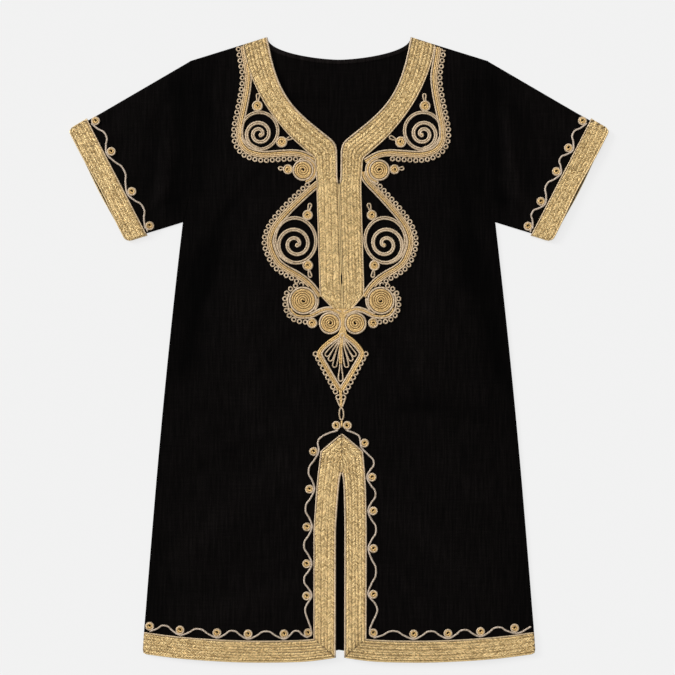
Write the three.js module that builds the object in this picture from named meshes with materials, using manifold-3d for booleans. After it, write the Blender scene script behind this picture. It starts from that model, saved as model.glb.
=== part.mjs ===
// A child's short-sleeved gandoura (North African tunic) laid flat, face up. Black cotton, gold plaited
// braid round neck, placket, front vent, hem and cuffs, and scrolls of gold cord couched on the front.
// Millimetres, +Z up off the surface it lies on, +Y towards the neck. "left" is the side at -X.
import * as THREE from "three";
import { mergeVertices } from "three/addons/utils/BufferGeometryUtils.js";
import Module from "manifold-3d";

const wasm = await Module();
wasm.setup();

// ---- Driving dimensions ----
const LENGTH = 780; // neck point to the lowest point of the hem
const NECK = { x: 89.5, y: LENGTH / 2 }; // where neckline and shoulder seam meet
const SHOULDER = { x: 186.3, y: 360 }; // where shoulder seam, armhole and sleeve fold meet
const UNDERARM = { x: 195, y: 159 };
const HEM_HALF = 244.5; // half the hem's width
const SIDE_BOW = 3.5; // how far the side seams bow outwards
const CUFF = { top: { x: 337, y: 272 }, bottom: { x: 267, y: 136.5 } };
const HEM_SIDE_Y = -380; // where hem and side seam meet
const BACK_HEM_RISE = 8; // the back is this much shorter than the front
const BACK_NECK = { drop: 28, curve: 0.62 }; // depth of the back neckline, and how square it is
const VENT = { top: -155, half: 5.2, run: 70, flare: 0.45 }; // slit at the front hem, at full width after run
const SLIT = { closed: 208, open: 215, half: 1.75 }; // short slit below the neck's point

const CLOTH = 1.2; // wall of the cotton
const GAP = 0.3; // clearance at seams
const TRIM_GAP = 0.4; // clearance under trimmings
const BRAID = 1.3; // thickness of the plaited braid
const BRAID_WIDTH = 27.5;
const CORD = { width: 2.4, height: 1.5 };
const LOFT = 2.4; // how far the front stands off the back in the middle
const LOFT_RUN = 85; // distance over which it rises from a seam
const HOLLOW = 0.6; // least space inside a sleeve

// How the sleeve's upper layer rises off the lower one, in shares of its width (edge) and length.
const SLEEVE_SHAPE = { loft: 2.2, edge: 0.22, seam: 0.33, cuffLoss: 0.55, foldsEnd: 0.35, foldsFade: 0.25 };

// How cloth comes down off a braid under it: the flat stretch past the braid, and the slope after that.
const STEP_DOWN = { back: { flat: 1, run: 24 }, front: { flat: 20, run: 50 }, sleeve: { flat: 1, run: 22 } };

// Half the front neckline, with the braid's two edges: along the opening, and away from it.
const NECK_EDGE = [
  { x: 89.5, y: 390.0, outX: 120.5, outY: 380.2 },
  { x: 86.6, y: 377.0, outX: 117.6, outY: 366.0 },
  { x: 83.4, y: 362.0, outX: 113.6, outY: 351.5 },
  { x: 77.2, y: 341.0, outX: 105.8, outY: 331.5 },
  { x: 68.6, y: 321.6, outX: 95.2, outY: 310.5 },
  { x: 56.6, y: 304.0, outX: 81.5, outY: 290.0 },
  { x: 41.1, y: 288.4, outX: 62.0, outY: 266.5 },
  { x: 22.0, y: 272.6, outX: 41.5, outY: 247.5 },
  { x: 9.6, y: 262.6, outX: 32.6, outY: 240.0 },
  { x: 4.2, y: 256.2, outX: 30.2, outY: 236.4 },
  { x: 2.2, y: 248.8, outX: 29.6, outY: 230.0 },
];
const NECK_FOOT = NECK_EDGE[NECK_EDGE.length - 1];
const PLACKET = { edge: 28, shoulder: 68, tip: 50, tipHalf: 11 }; // the braid's straight part

// The centre line of the trimming leans a little to +X, less and less towards the sides.
const LEAN = [
  { y: -390, dx: 1.2 }, { y: -225, dx: 1.5 }, { y: -173, dx: 2.8 }, { y: -139, dx: 3.5 },
  { y: -100, dx: 3.8 }, { y: -50, dx: 2 }, { y: 0, dx: 2.2 }, { y: 25, dx: 5 },
  { y: 80, dx: 3.6 }, { y: 134, dx: 2 }, { y: 200, dx: 0 }, { y: 390, dx: 0 },
];
const LEAN_REACH = 200;

// The hem's lowest line, from the vent out to the side seam.
const HEM_LINE = [
  { x: 0, y: -383 }, { x: 40, y: -388.5 }, { x: 90, y: -390 }, { x: 140, y: -389 },
  { x: 200, y: -385 }, { x: 244.5, y: -379.5 },
];

// Soft folds: a ridge (height > 0) or trough along a line, with the width of its flank.
const FRONT_FOLDS = [
  { side: -1, x0: 158, y0: 340, x1: 160, y1: 262, width: 9, height: -1.2 },
  { side: -1, x0: 128, y0: 205, x1: 158, y1: 160, width: 14, height: 1.4 },
  { side: -1, x0: 138, y0: 190, x1: 168, y1: 95, width: 16, height: -2.0 },
  { side: -1, x0: 165, y0: 110, x1: 190, y1: -10, width: 14, height: -1.9 },
  { side: 1, x0: 163, y0: 320, x1: 164, y1: 245, width: 9, height: -1.0 },
  { side: 1, x0: 146, y0: 215, x1: 168, y1: 90, width: 15, height: -2.2 },
  { side: 1, x0: 168, y0: 120, x1: 200, y1: -20, width: 14, height: -1.8 },
  { side: -1, x0: 118, y0: 60, x1: 112, y1: -60, width: 16, height: 1.1 },
  { side: 1, x0: 110, y0: 100, x1: 106, y1: -10, width: 16, height: 1.2 },
  { side: -1, x0: 75, y0: -150, x1: 190, y1: -250, width: 18, height: 1.1 },
  { side: -1, x0: 70, y0: -300, x1: 160, y1: -335, width: 15, height: 0.9 },
  { side: 1, x0: 75, y0: -215, x1: 150, y1: -270, width: 16, height: 1.1 },
  { side: 1, x0: 90, y0: -70, x1: 190, y1: -85, width: 15, height: -1.0 },
];
const SLEEVE_FOLDS = [
  { side: -1, x0: 196, y0: 325, x1: 204, y1: 185, width: 12, height: -1.8 },
  { side: -1, x0: 207, y0: 320, x1: 238, y1: 205, width: 12, height: -1.4 },
  { side: -1, x0: 200, y0: 330, x1: 222, y1: 180, width: 10, height: 1.2 },
  { side: 1, x0: 195, y0: 325, x1: 204, y1: 185, width: 12, height: -1.9 },
  { side: 1, x0: 218, y0: 305, x1: 240, y1: 210, width: 12, height: -1.4 },
  { side: 1, x0: 200, y0: 330, x1: 222, y1: 185, width: 10, height: 1.1 },
];

// ---- Small mathematics ----
const clamp01 = (t) => Math.min(1, Math.max(0, t));
const ease = (t) => clamp01(t) ** 2 * (3 - 2 * clamp01(t));
const mix = (a, b, t) => a + (b - a) * t;
const mixPoint = (a, b, t) => ({ x: mix(a.x, b.x, t), y: mix(a.y, b.y, t) });
const turn = (t) => 2 * Math.PI * t;

// The value of a table's column at a place along another, by straight lines.
function lookUp(table, along, column, at) {
  const up = table[0][along] < table[table.length - 1][along];
  const rows = up ? table : [...table].reverse();
  const after = rows.findIndex((row) => row[along] >= at);
  if (after === 0) return rows[0][column];
  if (after < 0) return rows[rows.length - 1][column];
  const [a, b] = [rows[after - 1], rows[after]];
  return mix(a[column], b[column], (at - a[along]) / (b[along] - a[along]));
}

// ---- The outline of the body, for x >= 0 ----
const shoulderLine = (x) => mix(NECK.y, SHOULDER.y, (x - NECK.x) / (SHOULDER.x - NECK.x));
const hemLine = (x) => lookUp(HEM_LINE, "x", "y", Math.abs(x));

const ARMHOLE_LINE = [UNDERARM, { x: 187, y: 195 }, { x: 181.8, y: 245 }, { x: 181.5, y: 300 }, SHOULDER];
const ARMHOLE = new THREE.SplineCurve(ARMHOLE_LINE.map(({ x, y }) => new THREE.Vector2(x, y)));
const ARMHOLE_TABLE = ARMHOLE.getPoints(20).map(({ x, y }) => ({ x, y }));
const armholeAt = (y) => lookUp(ARMHOLE_TABLE, "y", "x", y);

function outerEdge(y) {
  if (y > SHOULDER.y) return mix(SHOULDER.x, NECK.x, (y - SHOULDER.y) / (NECK.y - SHOULDER.y));
  if (y > UNDERARM.y) return armholeAt(y);
  const down = clamp01((UNDERARM.y - y) / (UNDERARM.y - HEM_SIDE_Y));
  return mix(UNDERARM.x, HEM_HALF, down) + SIDE_BOW * 4 * down * (1 - down);
}

function frontInnerEdge(y) {
  if (y >= NECK_FOOT.y) return lookUp(NECK_EDGE, "y", "x", y);
  if (y >= SLIT.open) return mix(SLIT.half, NECK_FOOT.x, (y - SLIT.open) / (NECK_FOOT.y - SLIT.open));
  if (y > SLIT.closed) return (SLIT.half * (y - SLIT.closed)) / (SLIT.open - SLIT.closed);
  if (y >= VENT.top) return 0;
  return VENT.half * clamp01((VENT.top - y) / VENT.run) ** VENT.flare;
}

// The back panel reaches in to the centre line up to the lowest point of its neckline.
function backInnerEdge(y) {
  const up = clamp01((y - (NECK.y - BACK_NECK.drop)) / BACK_NECK.drop);
  return NECK.x * Math.sin((Math.PI / 2) * up ** BACK_NECK.curve);
}

// ---- Heights ----
const lean = (x, y) => lookUp(LEAN, "y", "dx", y) * (1 - clamp01(Math.abs(x) / LEAN_REACH) ** 2);

function foldHeight(folds, x, y) {
  return folds.reduce((sum, fold) => {
    const [dx, dy] = [fold.x1 - fold.x0, fold.y1 - fold.y0];
    const length = Math.hypot(dx, dy);
    const [px, py] = [x * fold.side - fold.x0, y - fold.y0];
    const along = (px * dx + py * dy) / length;
    const across = (px * dy - py * dx) / length;
    const past = Math.max(0, -along, along - length);
    return sum + fold.height * Math.exp(-((across / fold.width) ** 2) - (past / (2 * fold.width)) ** 2);
  }, 0);
}

// How far a braid lying underneath lifts the cloth above it, by the distance from the cloth's edge.
const liftedBy = (distance, { flat, run }) =>
  (BRAID + GAP) * (1 - ease((distance - BRAID_WIDTH - flat) / run));
const backUnder = (x, y) => liftedBy(y - hemLine(x) - BACK_HEM_RISE, STEP_DOWN.back);
const backOver = (x, y) => liftedBy(y - hemLine(x), STEP_DOWN.front) + CLOTH + GAP;

const SHOULDER_COS = Math.cos(Math.atan2(NECK.y - SHOULDER.y, SHOULDER.x - NECK.x));
function bodyLoft(x, y) {
  const fromSide = outerEdge(Math.min(y, SHOULDER.y)) - Math.abs(x);
  const fromShoulder = (shoulderLine(Math.abs(x)) - y) * SHOULDER_COS;
  return ease(fromSide / LOFT_RUN) * ease(fromShoulder / LOFT_RUN);
}
function frontUnder(x, y) {
  const loft = bodyLoft(x, y);
  return backOver(x, y) + Math.max(0, LOFT * loft + foldHeight(FRONT_FOLDS, x, y) * Math.sqrt(loft));
}

// The sleeve, for x >= 0: u runs from the armhole to the cuff and v from the top fold to the underarm.
const CUFF_LENGTH = Math.hypot(CUFF.top.x - CUFF.bottom.x, CUFF.top.y - CUFF.bottom.y);
const CUFF_DOWN = {
  x: (CUFF.bottom.x - CUFF.top.x) / CUFF_LENGTH,
  y: (CUFF.bottom.y - CUFF.top.y) / CUFF_LENGTH,
};
const CUFF_NORMAL = { x: CUFF_DOWN.y, y: -CUFF_DOWN.x }; // away from the cuff's edge, up the sleeve
const fromCuff = (x, y) => (x - CUFF.top.x) * CUFF_NORMAL.x + (y - CUFF.top.y) * CUFF_NORMAL.y;

// The point on the line from one end of the cuff to another point, at a distance from the cuff's edge.
function backFromCuff(end, towards, distance) {
  const rise = (towards.x - end.x) * CUFF_NORMAL.x + (towards.y - end.y) * CUFF_NORMAL.y;
  return mixPoint(end, towards, distance / rise);
}
const PAST_BRAID = BRAID_WIDTH + 2;
const BRAID_SHARE = 0.75; // the share of u that comes before the cuff's braid
function sleeveAt(u, v) {
  const arm = ARMHOLE.getPoint(1 - v);
  const seam = { x: arm.x + 2 * GAP, y: arm.y };
  const braid = mixPoint(
    backFromCuff(CUFF.top, SHOULDER, PAST_BRAID), backFromCuff(CUFF.bottom, UNDERARM, PAST_BRAID), v,
  );
  const cuff = mixPoint(CUFF.top, CUFF.bottom, v);
  if (u <= BRAID_SHARE) return mixPoint(seam, braid, u / BRAID_SHARE);
  return mixPoint(braid, cuff, (u - BRAID_SHARE) / (1 - BRAID_SHARE));
}

const sleeveUnder = (x, y) => liftedBy(fromCuff(Math.abs(x), y), STEP_DOWN.sleeve);
function sleeveTop(side, x, y, u, v) {
  const { loft, edge, seam, cuffLoss, foldsEnd, foldsFade } = SLEEVE_SHAPE;
  const share = ease(Math.min(v, 1 - v) / edge) * ease(u / seam) * (1 - cuffLoss * ease(2 * u - 1));
  const foldShare = Math.sqrt(share) * (1 - ease((u - foldsEnd) / foldsFade));
  const folds = foldHeight(SLEEVE_FOLDS, side * x, y) * foldShare;
  return sleeveUnder(x, y) + 2 * CLOTH + HOLLOW + loft * share + folds;
}

// ---- Solids from points ----
// A closed wall from a flat net: each vertex has x, y and the heights low and high.
function wallOf(vertices, faces) {
  const positions = [];
  const corner = (i, top) => [vertices[i].x, vertices[i].y, top ? vertices[i].high : vertices[i].low];
  const push = (...points) => points.forEach((p) => positions.push(...p));
  const rims = new Map();
  for (const [a, b, c] of faces) {
    push(corner(a, true), corner(b, true), corner(c, true));
    push(corner(c, false), corner(b, false), corner(a, false));
    for (const [p, q] of [[a, b], [b, c], [c, a]]) {
      if (rims.has(q + ":" + p)) rims.delete(q + ":" + p);
      else rims.set(p + ":" + q, [p, q]);
    }
  }
  for (const [p, q] of rims.values()) {
    push(corner(p, false), corner(q, false), corner(q, true));
    push(corner(p, false), corner(q, true), corner(p, true));
  }
  return new THREE.BufferGeometry().setAttribute("position", new THREE.Float32BufferAttribute(positions, 3));
}

// A list of vertices in which those that lie together are one: idOf(p) gives a point's index.
function vertexPool() {
  const vertices = [];
  const found = new Map();
  const idOf = (p) => {
    const key = p.x.toFixed(2) + "," + p.y.toFixed(2);
    if (!found.has(key)) found.set(key, vertices.push(p) - 1);
    return found.get(key);
  };
  return { vertices, idOf };
}
// A net of quads split into triangles that face up.
function net(rows) {
  const { vertices, idOf } = vertexPool();
  const ids = rows.map((row) => row.map(idOf));
  const faces = [];
  const area = ([a, b, c]) => {
    const [p, q, r] = [vertices[a], vertices[b], vertices[c]];
    return (q.x - p.x) * (r.y - p.y) - (q.y - p.y) * (r.x - p.x);
  };
  for (let i = 0; i + 1 < ids.length; i++) {
    for (let j = 0; j + 1 < ids[i].length; j++) {
      const [a, b, c, d] = [ids[i][j], ids[i][j + 1], ids[i + 1][j + 1], ids[i + 1][j]];
      for (const face of [[a, b, c], [a, c, d]]) {
        if (new Set(face).size < 3) continue;
        faces.push(area(face) > 0 ? face : [face[0], face[2], face[1]]);
      }
    }
  }
  return { vertices, faces };
}
function joinNets(...parts) {
  const { vertices, idOf } = vertexPool();
  const faces = parts.flatMap((part) => part.faces.map((face) => face.map((i) => idOf(part.vertices[i]))));
  return { vertices, faces };
}

// The height of a net's upper side at a point, or that of its nearest vertex outside the net.
function heightOn({ vertices, faces }) {
  const NEAR = 1e-6;
  return (x, y) => {
    for (const face of faces) {
      const [p, q, r] = face.map((i) => vertices[i]);
      const whole = (q.x - p.x) * (r.y - p.y) - (q.y - p.y) * (r.x - p.x);
      const b = ((x - p.x) * (r.y - p.y) - (y - p.y) * (r.x - p.x)) / whole;
      const c = ((q.x - p.x) * (y - p.y) - (q.y - p.y) * (x - p.x)) / whole;
      const inside = b >= -NEAR && c >= -NEAR && b + c <= 1 + NEAR;
      if (inside) return p.high + b * (q.high - p.high) + c * (r.high - p.high);
    }
    const distance = (p) => Math.hypot(p.x - x, p.y - y);
    return vertices.reduce((best, p) => (distance(p) < distance(best) ? p : best)).high;
  };
}

// ---- Cloth ----
// Rows of points across the panels, by their y. The lowest rows bend down to follow the hem's line.
const HEM_ROW = -385;
const HEM_REACH = 180; // how far above the hem the rows bend
const FRONT_ROWS = [
  HEM_ROW, -370, -352, -332, -305, -270, -232, -193, -165, -155, -118, -80, -42, -5, 32, 68, 100, 130, 159,
  184, 208, 215, 232, 248.8, 256.2, 262.6, 272.6, 288.4, 304, 321.6, 341, 360, 370, 380, 386, 389.2,
];
const BACK_ROWS = [
  HEM_ROW, -370, -355, -345, -335, -320, -260, -180, -100, -20, 60, 110, 159, 178,
  200, 240, 280, 320, 345, 360, 362.6, 365, 369, 374, 380, 386, 389.2,
];
const HALF_COLUMNS = [0, 0.12, 0.25, 0.38, 0.52, 0.66, 0.79, 0.9, 1];
const BACK_COLUMNS = [0, 0.3, 0.6, 0.86, 1];

// One row of half a panel, from its inner edge to its outer edge.
function halfRow(side, nominal, inner, columns, rise, heights) {
  const outer = outerEdge(nominal);
  return columns.map((t) => {
    const x = mix(inner, outer, t);
    const follow = 1 - clamp01((nominal - HEM_ROW) / HEM_REACH);
    const y = nominal + (hemLine(x) - HEM_ROW + rise) * follow;
    const low = heights(side * x, y);
    const shifted = rise ? 0 : lean(x, y);
    return { x: side * x + shifted, y, low, high: low + CLOTH };
  });
}
function panel(rows, columns, innerEdge, rise, heights) {
  const half = (side) => net(rows.map((y) => halfRow(side, y, innerEdge(y), columns, rise, heights)));
  return joinNets(half(-1), half(1));
}
const FRONT_NET = panel(FRONT_ROWS, HALF_COLUMNS, frontInnerEdge, 0, frontUnder);
const BACK_NET = panel(BACK_ROWS, BACK_COLUMNS, backInnerEdge, BACK_HEM_RISE, backUnder);
const frontTop = heightOn(FRONT_NET);

// A tube pressed flat: sections of an outer and an inner loop, closed by rings at both ends.
function flatTube(sections) {
  const positions = [];
  const quad = (a, b, c, d) => [a, b, c, a, c, d].forEach((p) => positions.push(p.x, p.y, p.z));
  const count = sections[0].outer.length;
  for (let j = 0; j < count; j++) {
    const k = (j + 1) % count;
    for (let i = 0; i + 1 < sections.length; i++) {
      const [s, t] = [sections[i], sections[i + 1]];
      quad(s.outer[j], t.outer[j], t.outer[k], s.outer[k]);
      quad(s.inner[j], s.inner[k], t.inner[k], t.inner[j]);
    }
    const [first, last] = [sections[0], sections[sections.length - 1]];
    quad(first.outer[j], first.outer[k], first.inner[k], first.inner[j]);
    quad(last.outer[j], last.inner[j], last.inner[k], last.outer[k]);
  }
  const geometry = new THREE.BufferGeometry();
  return geometry.setAttribute("position", new THREE.Float32BufferAttribute(positions, 3));
}

// A loop round a flat section: the lower side from fold to fold, then the upper side back.
// place(v) gives x and y; low(v) and high(v) the heights; ends are the v of both folds, rounded there.
function flatLoop(side, steps, place, low, high, [from, to], round) {
  const at = (v, z) => ({ ...place(v), z });
  const inside = [...Array(steps + 1).keys()].map((i) => mix(from + round, to - round, i / steps));
  const middle = (v) => at(v, (low(v) + high(v)) / 2);
  const loop = [middle(from), ...inside.map((v) => at(v, low(v))), middle(to)];
  loop.push(...inside.reverse().map((v) => at(v, high(v))));
  return loop.map((p) => ({ x: side * p.x, y: p.y, z: p.z }));
}

const SLEEVE_STEPS = 8;
const SLEEVE_SECTIONS = [0, 0.14, 0.28, 0.42, 0.55, 0.66, BRAID_SHARE, 0.88, 1];
function sleeve(side) {
  const sections = SLEEVE_SECTIONS.map((u) => {
    const place = (v) => sleeveAt(u, v);
    const width = Math.hypot(place(0).x - place(1).x, place(0).y - place(1).y);
    const low = (v) => sleeveUnder(place(v).x, place(v).y);
    const high = (v) => sleeveTop(side, place(v).x, place(v).y, u, v);
    const inset = CLOTH / width;
    return {
      outer: flatLoop(side, SLEEVE_STEPS, place, low, high, [0, 1], 1.6 / width),
      inner: flatLoop(side, SLEEVE_STEPS, place, (v) => low(v) + CLOTH, (v) => high(v) - CLOTH,
        [inset, 1 - inset], 1.2 / width),
    };
  });
  const upper = net(sections.map(({ outer }) =>
    outer.slice(SLEEVE_STEPS + 3).map(({ x, y, z }) => ({ x, y, low: z - CLOTH, high: z }))));
  return { geometry: side < 0 ? flipped(flatTube(sections)) : flatTube(sections), top: heightOn(upper) };
}
function flipped(geometry) {
  const p = geometry.getAttribute("position");
  for (let i = 0; i < p.count; i += 3) {
    const b = [p.getX(i + 1), p.getY(i + 1), p.getZ(i + 1)];
    p.setXYZ(i + 1, p.getX(i + 2), p.getY(i + 2), p.getZ(i + 2));
    p.setXYZ(i + 2, ...b);
  }
  return geometry;
}

// ---- Braid ----
// Across its width the braid has a cord along each edge and a flat plaited field between them.
// t is the share of the width and rise the share of the braid's thickness.
const BRAID_PROFILE = [
  { t: 0, rise: 0.7 }, { t: 0.05, rise: 1.23 }, { t: 0.1, rise: 0.85 }, { t: 0.5, rise: 1.04 },
  { t: 0.9, rise: 0.85 }, { t: 0.95, rise: 1.23 }, { t: 1, rise: 0.7 },
];
// A strip from pairs of edge points, laid on a surface.
function braidStrip(side, pairs, surface) {
  const rows = pairs.map(([a, b]) => BRAID_PROFILE.map(({ t, rise }) => {
    const p = mixPoint(a, b, t);
    const x = side * p.x + lean(p.x, p.y);
    const low = surface(x, p.y) + TRIM_GAP;
    return { x, y: p.y, low, high: low + rise * BRAID };
  }));
  const strip = net(rows);
  return wallOf(strip.vertices, strip.faces);
}
function between(a, b, count) {
  return [...Array(count).keys()].map((i) => mixPoint(a, b, i / count));
}
// Pairs of points along two edges given by their corners; counts says how many steps each stretch has.
function pairsAlong(edgeA, edgeB, counts) {
  const pairs = [];
  counts.forEach((count, i) => {
    const [a, b] = [between(edgeA[i], edgeA[i + 1], count), between(edgeB[i], edgeB[i + 1], count)];
    a.forEach((p, k) => pairs.push([p, b[k]]));
  });
  pairs.push([edgeA[edgeA.length - 1], edgeB[edgeB.length - 1]]);
  return pairs;
}

const HALF_SEAM = GAP / 2 + 0.05; // half the seam between the left and the right braid
function neckBand(side) {
  const seam = (y) => ({ x: HALF_SEAM, y });
  const edge = (y) => ({ x: PLACKET.edge, y });
  const inner = NECK_EDGE.map(({ x, y }) => ({ x, y }));
  const outer = NECK_EDGE.map(({ outX, outY }) => ({ x: outX, y: outY }));
  inner.push({ x: SLIT.half, y: SLIT.open }, seam(SLIT.closed - 3), seam(PLACKET.shoulder + 3),
    seam(PLACKET.tip));
  outer.push(edge(SLIT.open - 6), edge(SLIT.closed - 6), edge(PLACKET.shoulder),
    { x: PLACKET.tipHalf, y: PLACKET.tip });
  const counts = NECK_EDGE.slice(1).map(() => 1);
  return braidStrip(side, pairsAlong(inner, outer, [...counts, 2, 1, 6, 1]), frontTop);
}

// The vent's braid starts in a pointed arch. Its outer edge widens out below the arch's shoulder.
const VENT_BAND = { apex: -104, mitre: -139, hemRow: -352 };
const VENT_EDGE = [
  { y: -126, x: 26.6 }, { y: -139, x: 28.4 }, { y: -173, x: 31.1 }, { y: -225, x: 33.3 },
  { y: -390, x: 33.1 },
];
const ARCH_SHOULDER = VENT_EDGE[0];
const hemTop = (x) => hemLine(x) + BRAID_WIDTH;
const ventInner = (y) => frontInnerEdge(y) + (y > VENT.top ? HALF_SEAM : 0);
const ventOuter = (y) => lookUp(VENT_EDGE, "y", "x", y);
const VENT_FOOT = { inX: ventInner(hemLine(0)), outX: ventOuter(hemLine(0)) };
function ventBand(side) {
  const inner = [{ x: HALF_SEAM, y: VENT_BAND.mitre }, { x: HALF_SEAM, y: VENT_BAND.mitre - 7 },
    { x: HALF_SEAM, y: VENT.top + 1 }];
  const outer = [{ x: HALF_SEAM, y: VENT_BAND.apex }, ARCH_SHOULDER, { x: ventOuter(VENT.top), y: VENT.top }];
  for (const y of FRONT_ROWS.filter((row) => row < VENT.top && row > VENT_BAND.hemRow).reverse()) {
    inner.push({ x: ventInner(y), y });
    outer.push({ x: ventOuter(y), y });
  }
  inner.push({ x: VENT_FOOT.inX, y: hemLine(VENT_FOOT.inX) });
  outer.push({ x: VENT_FOOT.outX, y: hemTop(VENT_FOOT.outX) });
  return braidStrip(side, pairsAlong(inner, outer, [2, 1, 1, 1, 1, 1, 1, 1, 2]), frontTop);
}

const HEM_MITRE = 0.45; // half the gap along the mitre between vent braid and hem braid
const HEM_SIDE_GAP = 0.6; // the hem's braid ends this far inside the side seam
function hemBand(side) {
  const seams = [0.5, BRAID_WIDTH - 2].map((up) => outerEdge(hemLine(HEM_HALF) + up) - HEM_SIDE_GAP);
  const pairs = HALF_COLUMNS.slice(2).map((t) => {
    const [lowX, highX] = seams.map((seam) => mix(VENT_FOOT.inX, seam, t));
    return [{ x: lowX, y: hemLine(lowX) }, { x: highX, y: hemTop(highX) }];
  });
  const [lowX, highX] = [VENT_FOOT.inX + 2 * HEM_MITRE, VENT_FOOT.outX + HEM_MITRE];
  pairs.unshift([{ x: lowX, y: hemLine(lowX) }, { x: highX, y: hemTop(highX) - HEM_MITRE }]);
  return braidStrip(side, pairs, frontTop);
}
// The back hem's braid lies face down under the back panel.
function backHemBand() {
  const reach = outerEdge(HEM_SIDE_Y + 10) - HEM_SIDE_GAP;
  const steps = 12;
  const rows = [...Array(steps + 1).keys()].map((i) => {
    const x = mix(-reach, reach, i / steps);
    const bottom = hemLine(x) + BACK_HEM_RISE;
    return [0, 0.5, 1].map((t) => ({ x, y: bottom + t * BRAID_WIDTH, low: 0, high: BRAID }));
  });
  const strip = net(rows);
  return wallOf(strip.vertices, strip.faces);
}

// The cuff's braid goes all round the end of the sleeve, outside it.
// across is the share of the braid's width, from the cuff's edge up the sleeve.
const CUFF_PROFILE = [
  { across: 1, rise: 0.73 }, { across: 0.94, rise: 1 }, { across: 0.5, rise: 1 }, { across: 0.06, rise: 1 },
  { across: 0.007, rise: 0.73 },
];
function cuffBand(side, top) {
  const sections = CUFF_PROFILE.map(({ across, rise }) => {
    const distance = across * BRAID_WIDTH;
    const upperEnd = backFromCuff(CUFF.top, SHOULDER, distance);
    const lowerEnd = backFromCuff(CUFF.bottom, UNDERARM, distance);
    const width = Math.hypot(upperEnd.x - lowerEnd.x, upperEnd.y - lowerEnd.y);
    const place = (v) => mixPoint(upperEnd, lowerEnd, v);
    const surface = (v) => top(side * place(clamp01(v)).x, place(clamp01(v)).y) + TRIM_GAP;
    const [clear, wall] = [GAP / width, BRAID / width];
    return {
      outer: flatLoop(side, SLEEVE_STEPS, place, () => 0, (v) => surface(v) + rise * BRAID,
        [-clear - wall, 1 + clear + wall], 1.4 * wall),
      inner: flatLoop(side, SLEEVE_STEPS, place, () => BRAID, surface, [-clear, 1 + clear], wall),
    };
  });
  return side < 0 ? flipped(flatTube(sections)) : flatTube(sections);
}

// ---- Cordwork ----
// Solids of cord are flat ribbons, joined, then laid on the cloth.
const asSolid = (geometry) => {
  const bare = geometry.index ? geometry : geometry.clone();
  bare.deleteAttribute("normal");
  bare.deleteAttribute("uv");
  const merged = mergeVertices(bare, 1e-3);
  return new wasm.Manifold(new wasm.Mesh({
    numProp: 3,
    vertProperties: merged.getAttribute("position").array,
    triVerts: new Uint32Array(merged.index.array),
  }));
};
const prism = (shape) =>
  asSolid(new THREE.ExtrudeGeometry(shape, { depth: CORD.height, bevelEnabled: false }));
// A taller solid of the same outline, to cut cordwork with.
const cutter = (shape) => {
  const geometry = new THREE.ExtrudeGeometry(shape, { depth: 2 * CORD.height, bevelEnabled: false });
  return asSolid(geometry.translate(0, 0, -CORD.height / 2));
};
const shapeOf = (points) => new THREE.Shape(points.map(({ x, y }) => new THREE.Vector2(x, y)));

// Unit normals to the left of a line of points.
function normals(points) {
  return points.map((_, i) => {
    const [a, b] = [points[Math.max(0, i - 1)], points[Math.min(points.length - 1, i + 1)]];
    const length = Math.hypot(b.x - a.x, b.y - a.y);
    return { x: -(b.y - a.y) / length, y: (b.x - a.x) / length };
  });
}
const offset = (points, distance) => {
  const across = normals(points);
  return points.map((p, i) => ({ x: p.x + across[i].x * distance, y: p.y + across[i].y * distance }));
};
const ribbon = (points, width) =>
  prism(shapeOf([...offset(points, width / 2), ...offset(points, -width / 2).reverse()]));
const round = (x, y, radius, sides = 10, stretch = 1) => shapeOf([...Array(sides).keys()].map((i) => ({
  x: x + radius * Math.cos(turn(i / sides)), y: y + radius * stretch * Math.sin(turn(i / sides)),
})));
const disc = (...sizes) => prism(round(...sizes));
const smoothLine = (points, steps) =>
  new THREE.SplineCurve(points.map(([x, y]) => new THREE.Vector2(x, y))).getSpacedPoints(steps);

// A ring of cord that winds on inwards as a spiral of open turns, round a point a little below its middle.
function spiral({ x, y, radius, stretch, drop, from, pitch, start, turns }) {
  const width = 2 * CORD.width;
  const ring = [...Array(20).keys()].map((i) => turn(i / 20));
  const circle = (r) => ring.map((a) =>
    new THREE.Vector2(x + r * Math.cos(a), y + r * stretch * Math.sin(a)));
  const shape = new THREE.Shape(circle(radius));
  shape.holes.push(new THREE.Path(circle(radius - width)));
  const count = Math.round(turns * 12);
  const line = [...Array(count + 1).keys()].map((i) => {
    const wound = (turns * i) / count;
    const [r, a] = [from - pitch * wound, turn(start + wound)];
    return { x: x + r * Math.cos(a), y: y - drop + r * Math.sin(a) };
  });
  return prism(shape).add(ribbon(line, width * 0.92)).add(disc(line[count].x, line[count].y, 2.9, 8));
}

// A coiled button of cord with a loop that stands out of it at an angle, in turns.
function rosette({ x, y, radius, loop, reach = 8 }) {
  const solid = disc(x, y, radius, radius > 9 ? 16 : 10);
  if (loop === undefined) return solid;
  const [dx, dy] = [Math.cos(turn(loop)), Math.sin(turn(loop))];
  const from = { x: x + dx * (radius - 1), y: y + dy * (radius - 1) };
  const to = { x: x + dx * (radius + reach - 2), y: y + dy * (radius + reach - 2) };
  return solid.add(ribbon([from, to], 4.4)).add(disc(to.x, to.y, 2.8, 8));
}

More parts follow.
